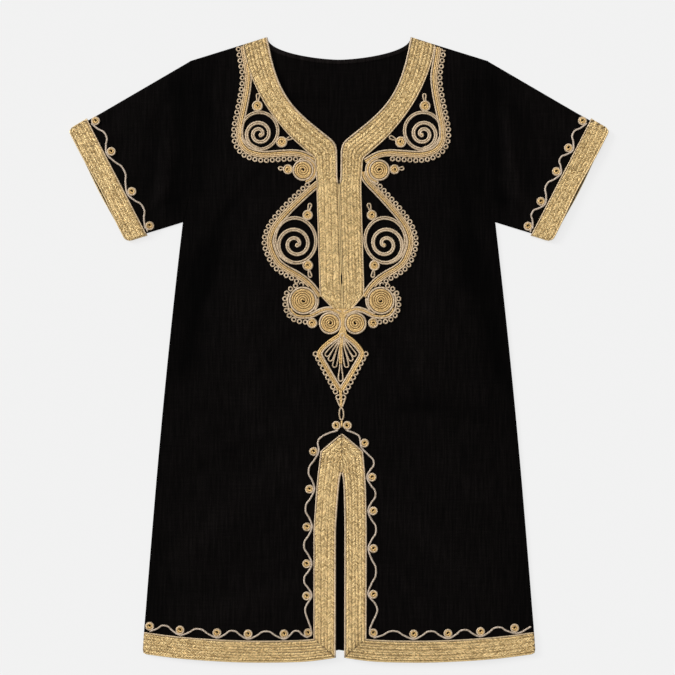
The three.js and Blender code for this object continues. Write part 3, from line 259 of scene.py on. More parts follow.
# A wavy cord: how near the braid it comes, how far out it swings, where its coils stand and their radius.
WAVE_NEAR, WAVE_SWING, COIL_STAND, COIL_RADIUS = 2.0, 11.5, 8.3, 5.5
WAVE_WIDTH = 2.3
WAVE_STEPS = [(0.24, 0.45), (0.4, 0.95), (0.6, 0.95), (0.76, 0.45)]  # share of the way on, share of the swing
COILS = {
    "left": {"vent": [-127, -174, -221, -267, -307], "hem": [39.6, 69.5, 114, 152.5, 198, 236],
             "cuff": [3.8, 47, 103, 151]},
    "right": {"vent": [-123, -159, -201, -248, -305], "hem": [41.5, 92, 135, 176, 219],
              "cuff": [3.8, 42, 75, 117, 151.5]},
}
ARCH_START = {
    "left": [(4.6, -100.3), (9, -102), (16, -104), (25, -108.5), (30, -115)],
    "right": [(4.6, -100.3), (9, -101.8), (16, -104.5), (22, -109)],
}
HEM_END = {"left": [], "right": [(226, -352.8), (233, -349), (239, -345.6), (244.5, -343.8)]}
VENT_END = {
    "left": [(41.5, -318), (43.3, -326), (38.8, -340), (36.4, -347), (36.6, -355)],
    "right": [(44, -317), (46.4, -326), (40.4, -340), (37.2, -348.5), (38, -356.5)],
}
CUFF_END = [(3.6, 0.4), (2.2, 5.5)]  # past the last coil: out from the braid, and on down the cuff
CORNER_ROUND = 7.0  # how round the cuff's corners are
HEM_ROUND = 5.0  # and the hem's
CUFF_BOW, CUFF_BOW_SPAN = 1.8, (0.16, 0.94)  # the cuff's upper edge stands back a little along this span
CUFF_UNDER = 0.9  # how much of that the underside stands out instead
CUFF_BEND, CUFF_FOLD_MARGIN = 6.1, 3.2  # length of braid round a fold, and how far it stands out there
NARROW = 1e-5

# ---- Nets of the cloth ----
HEM_BEND_ROW, HEM_REACH = -385.0, 180.0  # rows follow the hem's line from the first up to this far above it
LAST_ROW, TOP_ROW = 389.0, 389.7
CUT_ROWS = [208, 208.6, 209.5, 211, 213, 215, 248.8, 253, 256.2, 262.6, 159, 360]
VENT_ROWS = [-155, -155.4, -156, -157, -158.5, -160.5, -163]
SHOULDER_ROWS = (357, 389.6, 1.1)
BACK_NECK_ROWS, BACK_ROWS = (362, 28, 26, 1.6), [360, 159]
BODY_COLUMNS = 240  # the cloth's half width that the columns share
SLEEVE_NET = (64, 46)
WELD = 0.00002
SMOOTH_ANGLE = 40

# ---- The turned hem of the back neckline ----
RIM = {"width": 6.0, "height": 0.75, "sink": 0.05, "stitch": 2.6, "line": 0.8, "long": 0.95, "wide": 0.3}

# ---- The stage ----
FLOOR_SIZE, FLOOR_LEVEL, FLOOR_GLOW, SKY = 80, -0.0002, 0.745, 0.3
# Each light: its name, where it stands, how wide it looks in degrees, and its strength.
LIGHTS = (
    ("soft overhead light", (-0.35, 0.5, 1.0), 40, 1.2), ("low side light", (-1.0, 0.55, 0.62), 20, 2.0),
)
CAMERA_PLACE, SENSOR, LENS = (-0.0019, 0.015, 1.9922), 36, 85


# ---- Small mathematics ----
def ease(t):
    """From 0 to 1 with a soft start and a soft end."""
    t = np.clip(t, 0, 1)
    return t * t * (3 - 2 * t)


def mix(a, b, t):
    """The value a share t of the way from a to b."""
    return a + (b - a) * t


def catmull(points, count):
    """Points on a smooth line through the given ones, count steps to each stretch."""
    p = np.asarray(points, float)
    last = len(p) - 1
    whole = np.linspace(0, last, last * count + 1)
    i = np.minimum(whole.astype(int), last - 1)
    t = (whole - i)[:, None]
    before, a, b, after = p[np.maximum(i - 1, 0)], p[i], p[i + 1], p[np.minimum(i + 2, last)]
    va, vb = (b - before) / 2, (after - a) / 2
    return (2 * a - 2 * b + va + vb) * t ** 3 + (-3 * a + 3 * b - 2 * va - vb) * t ** 2 + va * t + a


def lengths(points):
    """How far along a line each of its points is."""
    steps = np.linalg.norm(np.diff(points, axis=0), axis=1)
    return np.concatenate(([0], np.cumsum(steps)))


def spaced(points, step):
    """The same line with points an even step apart."""
    points = np.asarray(points, float)
    along = lengths(points)
    count = max(2, int(round(along[-1] / step)) + 1)
    at = np.linspace(0, along[-1], count)
    return np.stack([np.interp(at, along, points[:, k]) for k in range(points.shape[1])], axis=1)


def smooth(points, step=1.3):
    """A smooth line through the given points, with points an even step apart."""
    return spaced(catmull(points, 12), step)


def left_of(points):
    """Unit normals to the left of a line of points."""
    d = np.gradient(points, axis=0)
    d /= np.linalg.norm(d, axis=1)[:, None]
    return np.stack([-d[:, 1], d[:, 0]], axis=1)


def offset(points, distance):
    """A line beside another, to its left."""
    return points + left_of(points) * distance


# ---- The outline ----
HEM_TABLE = catmull(HEM_LINE, 8)
ARMHOLE_TABLE = catmull(ARMHOLE, 12)
NECK_TABLE = catmull(NECK_INNER, 8)[::-1]


def hem_line(x):
    return np.interp(np.abs(x), HEM_TABLE[:, 0], HEM_TABLE[:, 1])


def hem_top(x):
    return hem_line(x) + BRAID_WIDTH


def outer_edge(y):
    down = np.clip((UNDERARM[1] - y) / (UNDERARM[1] - HEM_SIDE_Y), 0, 1)
    side = mix(UNDERARM[0], HEM_HALF, down) + SIDE_BOW * 4 * down * (1 - down)
    arm = np.interp(y, ARMHOLE_TABLE[:, 1], ARMHOLE_TABLE[:, 0])
    shoulder = mix(SHOULDER[0], NECK[0], (y - SHOULDER[1]) / (NECK[1] - SHOULDER[1]))
    return np.where(y > SHOULDER[1], shoulder, np.where(y > UNDERARM[1], arm, side))


def front_inner(y):
    foot_x, foot_y = NECK_INNER[-1]
    neck = np.interp(y, NECK_TABLE[:, 1], NECK_TABLE[:, 0])
    slit = mix(SLIT_HALF, foot_x, (y - SLIT_OPEN) / (foot_y - SLIT_OPEN))
    closing = SLIT_HALF * (y - SLIT_CLOSED) / (SLIT_OPEN - SLIT_CLOSED)
    vent = VENT_HALF * np.clip((VENT_TOP - y) / VENT_RUN, 0, 1) ** VENT_FLARE
    upper = np.where(y >= foot_y, neck, np.where(y >= SLIT_OPEN, slit, np.maximum(closing, 0)))
    return np.where(y >= VENT_TOP, upper, vent)


def back_inner(y):
    up = np.clip((y - (NECK[1] - BACK_NECK_DROP)) / BACK_NECK_DROP, 0, 1)
    return NECK[0] * np.sin(math.pi / 2 * up ** BACK_NECK_CURVE)


def lean(x, y):
    return np.interp(y, LEAN_Y, LEAN_X) * (1 - np.clip(np.abs(x) / LEAN_REACH, 0, 1) ** 2)


# ---- Heights ----
def crease_height(creases, x, y):
    """The sum of all creases at a place: each is a soft ridge or trough along its line."""
    total = np.zeros(np.broadcast(x, y).shape)
    for side, x0, y0, x1, y1, width, height in creases:
        dx, dy = x1 - x0, y1 - y0
        length = math.hypot(dx, dy)
        px, py = (x * side if side else np.abs(x)) - x0, y - y0
        along = (px * dx + py * dy) / length
        across = (px * dy - py * dx) / length
        across = across + CREASE_SWAY * width * np.sin(along / (CREASE_WAVE * width))
        past = np.maximum(0, np.maximum(-along, along - length))
        total += height * np.exp(-(across / width) ** 2 - (past / (CREASE_FADE * width)) ** 2)
    return total


def lifted(distance, step):
    """How high cloth lies over the braid under it, at a distance from the braid's outer edge."""
    flat, run = STEP_DOWN[step]
    return (BRAID + GAP) * (1 - ease((distance - BRAID_WIDTH - flat) / run))


def back_under(x, y):
    return lifted(y - hem_line(x) - BACK_HEM_RISE, "back")


def body_loft(x, y):
    """How full the body lies: from 0 along its sides and shoulders to 1 further in."""
    fall = (NECK[1] - SHOULDER[1]) / (SHOULDER[0] - NECK[0])
    shoulder_line = NECK[1] - (np.abs(x) - NECK[0]) * fall
    from_side = outer_edge(np.minimum(y, SHOULDER[1])) - np.abs(x)
    from_shoulder = (shoulder_line - y) * math.cos(math.atan(fall))
    return ease(from_side / LOFT_RUN) * ease(from_shoulder / LOFT_RUN)


def ripple(x, y):
    """The slight unevenness of cloth smoothed out by hand."""
    return (BROAD_RIPPLE * np.sin(x / 17 + 1.3 * np.sin(y / 61)) * np.sin(y / 29 + 0.9 * np.sin(x / 47))
            + FINE_RIPPLE * np.sin(x / 9.5 + y / 31) * np.sin(y / 13 - x / 41))


def front_top(x, y):
    loft = body_loft(x, y)
    depth = bpy.context.scene.gandoura_sizes.crease_depth
    over_back = lifted(y - hem_line(x), "front") + CLOTH + GAP
    creases = depth * (crease_height(FRONT_CREASES, x, y) + ripple(x, y)) * np.sqrt(loft)
    return over_back + np.maximum(0, LOFT * loft + creases) + CLOTH


def front_painted_shade(x, y):
    """Painted light and shade for the cloth's colour: about 0.5 where flat, lighter on ridges, darker in troughs and
    at the sides.
    """
    light = FRONT_PAINTED_SHADE_TABLE
    creases = crease_height(FRONT_CREASES, x, y)
    from_side = outer_edge(np.minimum(y, SHOULDER[1])) - np.abs(x)
    # Painted shade towards the sides, where the cloth turns away from the light.
    side = light["side"] * (1 - ease(from_side / light["run"]))
    return np.clip(light["flat"] + light["crease"] * creases - side, *PAINTED_SHADE_LIMITS)


def back_painted_shade(x, y):
    # Painted light on the creases' ridges and painted shade in their troughs.
    return np.clip(BACK_PAINTED_SHADE_TABLE["flat"] + BACK_PAINTED_SHADE_TABLE["crease"] * crease_height(BACK_CREASES, x, y), *PAINTED_SHADE_LIMITS)


def back_top(x, y):
    inside = ease((outer_edge(np.minimum(y, SHOULDER[1])) - np.abs(x)) / BACK_RUN)
    return back_under(x, y) + CLOTH + np.maximum(0, crease_height(BACK_CREASES, x, y)) * inside


CUFF_LENGTH = float(np.linalg.norm(CUFF_BOTTOM - CUFF_TOP))
CUFF_DOWN = (CUFF_BOTTOM - CUFF_TOP) / CUFF_LENGTH
CUFF_NORMAL = np.array((CUFF_DOWN[1], -CUFF_DOWN[0]))
PAST_BRAID = BRAID_WIDTH + 2
BRAID_SHARE = 0.75


def from_cuff(x, y):
    return (x - CUFF_TOP[0]) * CUFF_NORMAL[0] + (y - CUFF_TOP[1]) * CUFF_NORMAL[1]


def back_from_cuff(end, towards, distance):
    """Points on the line from an end of the cuff to another point, at distances from the cuff's edge."""
    towards = np.asarray(towards, float)
    rise = float((towards - end) @ CUFF_NORMAL)
    return end + np.multiply.outer(np.asarray(distance, float) / rise, towards - end)


def cuff_line(distance, v):
    """Points across the sleeve at a distance from the cuff's edge, v from the top fold to the underarm."""
    v = np.asarray(v, float)[..., None]
    return mix(back_from_cuff(CUFF_TOP, SHOULDER, distance), back_from_cuff(CUFF_BOTTOM, UNDERARM, distance), v)


ARM_POINTS = catmull(ARMHOLE, 40)[::-1]
ARM_SHARE = np.linspace(0, 1, len(ARM_POINTS))


def seam_point(v):
    """Points down the armhole seam, v from the top fold to the underarm."""
    return np.stack([np.interp(v, ARM_SHARE, ARM_POINTS[:, 0]) - GAP,
                     np.interp(v, ARM_SHARE, ARM_POINTS[:, 1])], axis=-1)


def sleeve_at(u, v):
    """Points of the sleeve: u from the armhole to the cuff, v from the top fold to the underarm."""
    braid = cuff_line(np.full(np.shape(v), PAST_BRAID), v)
    cuff = mix(CUFF_TOP, CUFF_BOTTOM, np.asarray(v)[..., None])
    u = np.asarray(u)[..., None]
    return np.where(u <= BRAID_SHARE, mix(seam_point(v), braid, u / BRAID_SHARE),
                    mix(braid, cuff, (u - BRAID_SHARE) / (1 - BRAID_SHARE)))


def sleeve_share(x, y):
    """The u and v of places on the sleeve: the v whose line from seam to cuff passes nearest to each."""
    x, y = np.ravel(x), np.ravel(y)
    v = np.linspace(0, 1, 601)
    seam, braid = seam_point(v), cuff_line(np.full(v.shape, PAST_BRAID), v)
    way = braid - seam
    px, py = x[:, None] - seam[:, 0], y[:, None] - seam[:, 1]
    aside = np.abs(px * way[:, 1] - py * way[:, 0]) / np.linalg.norm(way, axis=1)
    nearest = aside.argmin(axis=1)
    along = np.einsum("ij,ij->i", np.stack([x, y], 1) - seam[nearest], way[nearest])
    share = along / (way[nearest] ** 2).sum(axis=1)
    u = np.where(share <= 1, share * BRAID_SHARE,
                 BRAID_SHARE + (1 - from_cuff(x, y) / PAST_BRAID) * (1 - BRAID_SHARE))
    return np.clip(u, 0, 1), v[nearest]


def sleeve_under(x, y):
    return lifted(from_cuff(x, y), "sleeve")


def round_off(a, b):
    """The share left of two distances past the start of a round corner."""
    far = np.hypot(np.maximum(a, NARROW), np.maximum(b, NARROW))
    return np.where((a > NARROW) & (b > NARROW), np.maximum(a, b) / far, 1.0)


def rounded_cuff(xy, margin):
    """Draws points near the cuff's two corners in to a round. Margin is how far the outline is past the fold."""
    distance, down = from_cuff(xy[..., 0], xy[..., 1]), (xy - CUFF_TOP) @ CUFF_DOWN
    middle = CUFF_LENGTH / 2
    a = CORNER_ROUND - distance
    b = np.abs(down - middle) - (middle + margin - CORNER_ROUND)
    drawn = 1 - round_off(a, b)
    inwards, back = a * drawn, np.sign(down - middle) * b * drawn
    return xy + inwards[..., None] * CUFF_NORMAL - back[..., None] * CUFF_DOWN


def rounded_hem(x, y, rise=0.0):
    """Draws points near the hem's side corner in to a round."""
    a = HEM_ROUND - (y - hem_line(x) - rise)
    b = HEM_ROUND - (outer_edge(y) - x)
    drawn = 1 - round_off(a, b)
    return x - b * drawn, y + a * drawn


def cuff_bow(v):
    """How far the upper edge of the cuff stands back at a share of the way down."""
    low, high = CUFF_BOW_SPAN
    return CUFF_BOW * np.sin(math.pi * np.clip((v - low) / (high - low), 0, 1)) ** 2


def sleeve_top(side, x, y, u, v):
    """Height of the sleeve's upper side."""
    depth = bpy.context.scene.gandoura_sizes.crease_depth
    loft, (start, run) = SLEEVE_LOFT, SLEEVE_CREASES_FADE
    share = ease(np.minimum(v, 1 - v) / loft["sides"]) * ease(u / loft["armhole"])
    share = share * (1 - loft["cuff"] * ease(2 * u - 1))
    open_part = np.sqrt(share) * (1 - ease((u - start) / run))
    creases = depth * (crease_height(SLEEVE_CREASES, side * x, y) * open_part + ripple(x, y) * np.sqrt(share))
    return sleeve_under(x, y) + 2 * CLOTH + HOLLOW + np.maximum(0, loft["height"] * share + creases)


# ---- Places in the scene ----
def on_front(side, xy, height=0.0):
    """Lays points of half the front on the cloth, raised by a height."""
    x, y = xy[..., 0], xy[..., 1]
    return np.stack([side * x + lean(x, y), y, front_top(side * x, y) + TRIM_GAP + height], axis=-1)


def on_sleeve(side, xy, height=0.0):
    """Lays points on the upper side of a sleeve, raised by a height."""
    x, y = xy[..., 0], xy[..., 1]
    u, v = sleeve_share(x, y)
    z = sleeve_top(side, np.ravel(x), np.ravel(y), u, v).reshape(np.shape(x))
    return np.stack([side * x, y, z + TRIM_GAP + height], axis=-1)


# ---- Meshes ----
class Stock:
    """Vertices, faces and their finish, gathered for one piece."""

    def __init__(self):
        self.points, self.faces, self.uvs, self.tones, self.chances_and_shades = [], [], [], [], []
        self.count = 0

    def add(self, points, faces, uvs, tone, chance_and_shade=0.5):
        """Faces is an array of corners; uvs has a pair for every corner. Nothing goes below the floor."""
        points = np.array(points, float).reshape(-1, 3)
        points[:, 2] = np.maximum(points[:, 2], 0)
        self.points.append(points)
        self.faces.append(np.asarray(faces, int) + self.count)
        self.uvs.append(np.asarray(uvs, float).reshape(-1, 2))
        self.tones.append(np.broadcast_to(np.asarray(tone, float), len(points)))
        # Per point: a random tone on the gold and cords, and painted shade on the cloth.
        self.chances_and_shades.append(np.broadcast_to(np.asarray(chance_and_shade, float), len(points)))
        self.count += len(points)

    def piece(self, name, material, node, slot):
        """Makes the piece, lets it ride, and hides the solid it stands for."""
        mesh = bpy.data.meshes.new(name)
        corners = [tuple(face) for block in self.faces for face in block.tolist()]
        mesh.from_pydata((np.concatenate(self.points) * MM).tolist(), [], corners)
        layer = mesh.uv_layers.new(name="thread")
        layer.data.foreach_set("uv", np.concatenate(self.uvs).ravel())
        for title, values in (("tone", self.tones), ("chance_and_shade", self.chances_and_shades)):
            data = mesh.attributes.new(title, "FLOAT", "POINT").data
            data.foreach_set("value", np.concatenate(values))
        mesh.polygons.foreach_set("use_smooth", np.ones(len(mesh.polygons), bool))
        mesh.materials.append(material)
        mesh.update()
        if mesh.validate():
            raise RuntimeError(f"{name}: its mesh has bad faces")
        piece = bpy.data.objects.new(name, mesh)
        bpy.context.scene.collection.objects.link(piece)
        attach(piece, "root")
        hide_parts(node)
        return piece


def grid_faces(rows, columns, wrap=False):
    """Quads between the rows of a grid of points, facing up where columns go left as rows go up."""
    i, j = np.meshgrid(np.arange(rows - 1), np.arange(columns if wrap else columns - 1), indexing="ij")
    k = (j + 1) % columns
    return np.stack([i * columns + j, i * columns + k, (i + 1) * columns + k, (i + 1) * columns + j],
                    axis=-1).reshape(-1, 4)


def sheet_uvs(points, faces):
    """The thread map of a sheet: its own x and y in millimetres."""
    return points[faces][..., :2]


def add_wall(stock, top, low):
    """A closed sheet between two grids of points."""
    rows, columns = top.shape[:2]
    up = grid_faces(rows, columns)
    flat_top, flat_low = top.reshape(-1, 3), low.reshape(-1, 3)
    a, b, c = flat_top[up[len(up) // 2][:3]]
    if np.cross(b - a, c - b)[2] * np.sign((flat_top - flat_low)[:, 2].mean()) < 0:
        up = up[:, ::-1]
    border = edge_walk(rows, columns, up[0][0] == 0 and up[0][1] == 1)
    n = rows * columns
    rim = np.stack([border, np.roll(border, -1), np.roll(border, -1) + n, border + n], axis=-1)[:, ::-1]
    points = np.concatenate([flat_top, flat_low])
    faces = np.concatenate([up, up[:, ::-1] + n, rim])
    stock.add(points, faces, sheet_uvs(points, faces), 0.0)


def edge_walk(rows, columns, forwards):
    """The numbers of a grid's outer points in order round it."""
    walk = list(range(columns)) + [r * columns + columns - 1 for r in range(1, rows)]
    walk += [(rows - 1) * columns + j for j in range(columns - 2, -1, -1)]
    walk += [r * columns for r in range(rows - 2, 0, -1)]
    return np.array(walk if forwards else walk[::-1])


def tube_rings(path, width, height, closed, up):
    """The corners of a cord's oval section at each point of its path, drawn in at free ends."""
    if closed:
        tangent = np.roll(path, -1, axis=0) - np.roll(path, 1, axis=0)
    else:
        tangent = np.gradient(path, axis=0)
    up = np.broadcast_to(up, path.shape)
    aside = np.cross(up, tangent)
    aside /= np.linalg.norm(aside, axis=1)[:, None]
    angle = 2 * math.pi * np.arange(TUBE_SIDES) / TUBE_SIDES
    scale = np.ones(len(path))
    if not closed:
        scale[[0, -1]] = TUBE_END
    across = aside[:, None, :] * (np.cos(angle) * width / 2)[None, :, None]
    upward = up[:, None, :] * (np.sin(angle) * height / 2)[None, :, None]
    return path[:, None, :] + (across + upward) * scale[:, None, None]


def tube_uvs(path, faces):
    """The thread map of a cord: millimetres along it, then the share of the way round it."""
    along = lengths(np.vstack([path, path[:1]]))
    i, j = faces[:, 0] // TUBE_SIDES, faces[:, 0] % TUBE_SIDES
    here, there = along[i], along[np.minimum(i + 1, len(along) - 1)]
    a, b = j / TUBE_SIDES, (j + 1) / TUBE_SIDES
    return np.stack([np.stack(pair, 1) for pair in ((here, a), (here, b), (there, b), (there, a))], axis=1)


def add_tube(stock, path, width, height, tone, closed=False, up=(0.0, 0.0, 1.0), chance_and_shade=0.5):
    """A cord along a path: an oval section, rounded ends, and a pattern that runs along it."""
    path = np.asarray(path, float)
    count, sides = len(path), TUBE_SIDES
    if count < 3:
        return
    faces = grid_faces(count + 1 if closed else count, sides, wrap=True)
    uvs = tube_uvs(path, faces)
    faces = np.where(faces >= count * sides, faces - count * sides, faces)
    stock.add(tube_rings(path, width, height, closed, up), faces[:, ::-1], uvs[:, ::-1], tone, chance_and_shade)
    if not closed:
        caps = np.array([np.arange(sides), np.arange(sides)[::-1] + (count - 1) * sides])
        stock.faces.append(caps + stock.count - count * sides)
        stock.uvs.append(np.zeros((2 * sides, 2)))


# ---- Materials ----
COTTON, PALE_COTTON = "black slubby cotton", "lighter cotton of the neck hem"
BRAID_GOLD, CORD_GOLD = "gold plaited braid", "gold couching cord"
# How closely each kind of noise is drawn: across and along the threads, and over the gold.
WEFT, WARP, FINE_THREAD = (26, 420, 1), (420, 26, 1), (1100, 1100, 1)
FIBRES, PATCHES, FLECKS = (2600, 2600, 2600), (55, 55, 55), (620, 620, 620)
# The tones of gold: where the bed ends, then gold, pale and ash cord.
BED_END = 0.25
# Painted shade and light of the cloth: from 0, dark, by 0.5, as woven, to 1, lighter.
PAINTED_SHADE_TINTS = [(0.0, (0.3, 0.3, 0.3, 1)), (0.5, (1, 1, 1, 1)), (1.0, (1.7, 1.7, 1.7, 1))]
# Tints of the gold by that value: dark, as is, and lighter than the gold, the lighter end a painted glint.
GOLD_TONE_AND_GLINT_TINTS = [(0.3, (0.5, 0.42, 0.28, 1)), (0.5, (1.0, 0.97, 0.92, 1)), (0.72, (1.35, 1.35, 1.35, 1))]
WHITE = (1, 1, 1, 1)


def material_nodes(name):
    """A new material with a shader in an empty tree."""
    material = bpy.data.materials.new(name)
    material.use_nodes = True
    tree = material.node_tree
    tree.nodes.clear()
    output = tree.nodes.new("ShaderNodeOutputMaterial")
    shader = tree.nodes.new("ShaderNodeBsdfPrincipled")
    tree.links.new(shader.outputs[0], output.inputs[0])
    return material, tree, shader


def add_node(tree, kind, settings=(), inputs=()):
    """A node with its settings, and its inputs linked to a socket or set to a value."""
    node = tree.nodes.new(kind)
    for key, value in dict(settings).items():
        setattr(node, key, value)
    for key, value in dict(inputs).items():
        if isinstance(value, bpy.types.NodeSocket):
            tree.links.new(value, node.inputs[key])
        else:
            node.inputs[key].default_value = value
    return node


def slubs(tree, place, scale, detail=4.0):
    """Noise drawn out one way, as the thick and thin places of a thread are."""
    spread = add_node(tree, "ShaderNodeMapping", (), {"Vector": place, "Scale": scale})
    return add_node(tree, "ShaderNodeTexNoise", (), {
        "Vector": spread.outputs[0], "Scale": 1.0, "Detail": detail, "Roughness": 0.6,
    }).outputs["Fac"]


def ramp(tree, value, stops):
    """Colours by value, from (place, colour) stops."""
    node = add_node(tree, "ShaderNodeValToRGB", (), {"Fac": value})
    node.color_ramp.elements[0].position, node.color_ramp.elements[0].color = stops[0]
    node.color_ramp.elements[1].position, node.color_ramp.elements[1].color = stops[-1]
    for position, colour in stops[1:-1]:
        node.color_ramp.elements.new(position).color = colour
    return node.outputs["Color"]


def math_node(tree, operation, a, b=0.0, c=0.0):
    return add_node(tree, "ShaderNodeMath", {"operation": operation}, {0: a, 1: b, 2: c}).outputs[0]


def times(tree, a, b):
    """One colour multiplied by another."""
    inputs = {0: 1.0, 6: a, 7: b}
    return add_node(tree, "ShaderNodeMix", {"data_type": "RGBA", "blend_type": "MULTIPLY"}, inputs).outputs[2]


def between(tree, value, start, end, low, high):
    """A value taken from one range to another."""
    inputs = {"Value": value, 1: start, 2: end, 3: low, 4: high}
    return add_node(tree, "ShaderNodeMapRange", (), inputs).outputs[0]


def attribute(tree, name):
    return add_node(tree, "ShaderNodeAttribute", {"attribute_name": name}).outputs["Fac"]


def four(colour, share=1.0):
    """A colour with its alpha, lightened or darkened by a share."""
    return tuple(c * share for c in colour[:3]) + (1.0,)


def cotton_material(name=COTTON, lift=1.0):
    """Plain weave of uneven threads. A per-point attribute carries painted shade: it darkens the colour in troughs
    and at the sides and lightens it on ridges.
    """
    colours = bpy.context.scene.gandoura_colours
    material, tree, shader = material_nodes(name)
    place = add_node(tree, "ShaderNodeTexCoord").outputs["Object"]
    weft = slubs(tree, place, WEFT)
    warp = slubs(tree, place, WARP)
    fine = slubs(tree, place, FINE_THREAD, 2.0)
    threads = math_node(tree, "MULTIPLY_ADD", weft, 0.16, math_node(tree, "MULTIPLY", warp, 0.44))
    threads = math_node(tree, "MULTIPLY_ADD", fine, 0.4, threads)
    weave = ramp(tree, threads, [
        (0.4, four(colours.cotton, 0.5 * lift)), (0.5, four(colours.cotton, lift)),
        (0.62, four(colours.cotton, 2.0 * lift)),
    ])
    # Painted shade multiplied into the weave's colour.
    colour = times(tree, weave, ramp(tree, attribute(tree, "chance_and_shade"), PAINTED_SHADE_TINTS))
    bump = add_node(tree, "ShaderNodeBump", (), {"Height": threads, "Strength": 0.55, "Distance": 0.0006})
    tree.links.new(colour, shader.inputs["Base Color"])
    tree.links.new(bump.outputs[0], shader.inputs["Normal"])
    shader.inputs["Roughness"].default_value = 0.75
    shader.inputs["Specular IOR Level"].default_value = 0.02
    shader.inputs["Sheen Weight"].default_value = 0.006
    shader.inputs["Sheen Roughness"].default_value = 0.5
    return material


def gold_material(name, gold, along, around, relief):
    """Tone goes from the bed under the plait by gold and pale cord to ash cord. Chance varies each strand's tone at
    random, and patches add random tone. Flecks add random tone and painted glints; the twist adds painted shade in
    its grooves and painted light on its crests. Along and around say how the twist of the thread runs over the cord,
    and relief how deep it is."""
    colours = bpy.context.scene.gandoura_colours
    material, tree, shader = material_nodes(name)
    tone, chance_and_shade = attribute(tree, "tone"), attribute(tree, "chance_and_shade")
    thread = add_node(tree, "ShaderNodeUVMap", {"uv_map": "thread"}).outputs[0]
    parts = add_node(tree, "ShaderNodeSeparateXYZ", (), {0: thread})
    phase = math_node(tree, "MULTIPLY_ADD", parts.outputs[0], along,
                      math_node(tree, "MULTIPLY", parts.outputs[1], around))
    strands = math_node(tree, "SINE", math_node(tree, "MULTIPLY", phase, 2 * math.pi))
    place = add_node(tree, "ShaderNodeTexCoord").outputs["Object"]
    fibres = slubs(tree, place, FIBRES, 2.0)
    patches = slubs(tree, place, PATCHES, 3.0)
    height = math_node(tree, "MULTIPLY_ADD", strands, 0.35, fibres)
    base = ramp(tree, tone, [
        (0.0, four(colours.bed)), (BED_END, four(colours.bed)), (GOLD, four(gold)),
        (PALE, four(colours.pale_cord)), (ASH, four(colours.ash_cord)),
    ])
    flecks = slubs(tree, place, FLECKS, 2.0)
    # Random tone of strands and patches, with flecks that are partly painted glints and painted shade of the
    # metallic thread.
    light = math_node(tree, "MULTIPLY_ADD", chance_and_shade, 0.3, math_node(tree, "MULTIPLY_ADD", patches, 0.12, -0.1))
    light = math_node(tree, "MULTIPLY_ADD", flecks, 0.8, light)
    # Painted shade in the twist's grooves and painted light on its crests.
    glints_and_groove_shade = math_node(tree, "MULTIPLY_ADD", strands, 0.06, light)
    colour = times(tree, base, ramp(tree, glints_and_groove_shade, GOLD_TONE_AND_GLINT_TINTS))
    bump = add_node(tree, "ShaderNodeBump", (), {"Height": height, "Strength": relief, "Distance": 0.0004})
    tree.links.new(colour, shader.inputs["Base Color"])
    tree.links.new(bump.outputs[0], shader.inputs["Normal"])
    tree.links.new(between(tree, tone, BED_END, GOLD, 0.0, 0.35), shader.inputs["Metallic"])
    tree.links.new(between(tree, tone, GOLD, PALE, 0.42, 0.62), shader.inputs["Roughness"])
    shader.inputs["Sheen Weight"].default_value = 0.08
    return material


def finish_named(name):
    """The material of that name, made when a piece first asks for it."""
    found = bpy.data.materials.get(name)
    if found:
        return found
    colours = bpy.context.scene.gandoura_colours
    makers = {
        BRAID_GOLD: lambda: gold_material(BRAID_GOLD, colours.gold, 0.3, 3, 0.45),
        CORD_GOLD: lambda: gold_material(CORD_GOLD, colours.gold_cord, 0.62, 1, 0.6),
        COTTON: cotton_material,
        PALE_COTTON: lambda: cotton_material(PALE_COTTON, bpy.context.scene.gandoura_sizes.rim_lift),
    }
    return makers[name]()


# ---- Braid ----
def one_strand():
    """One short strand of the plait, modelled once: a slim bead lying along X, flat below."""
    bpy.ops.object.select_all(action="DESELECT")
    bpy.ops.mesh.primitive_uv_sphere_add(segments=6, ring_count=4, radius=1)
    bead = bpy.context.active_object
    bpy.ops.object.mode_set(mode="EDIT")
    bpy.ops.mesh.select_all(action="SELECT")
    bpy.ops.transform.rotate(value=math.pi / 2, orient_axis="Y", center_override=(0, 0, 0))
    bpy.ops.mesh.bisect(plane_co=(0, 0, BEAD_FLAT), plane_no=(0, 0, 1), use_fill=True, clear_inner=True)
    bpy.ops.mesh.select_all(action="SELECT")
    bpy.ops.mesh.quads_convert_to_tris()
    bpy.ops.mesh.normals_make_consistent(inside=False)
    bpy.ops.object.mode_set(mode="OBJECT")
    points = np.array([v.co for v in bead.data.vertices])
    faces = np.array([f.vertices for f in bead.data.polygons])
    bpy.data.objects.remove(bead)
    return points, faces


class Band:
    """A length of braid between two edges, laid on a surface: s runs along it and t across it."""

    def __init__(self, first, second, lay):
        middle = (first + second) / 2
        self.first, self.second, self.lay = first, second, lay
        self.along = lengths(middle)
        self.length = self.along[-1]
        self.width = np.linalg.norm(second - first, axis=1)

    def place(self, s, t, height):
        """Points of the braid in the scene, at a height above its foot."""
        columns = []
        for k in (0, 1):
            a = np.interp(s, self.along, self.first[:, k])
            b = np.interp(s, self.along, self.second[:, k])
            columns.append(mix(a, b, t))
        return self.lay(np.stack(columns, axis=-1), height)

    def width_at(self, s):
        return np.interp(s, self.along, self.width)

    def up_at(self, s):
        """The way out of the braid's face."""
        return np.array((0.0, 0.0, 1.0))


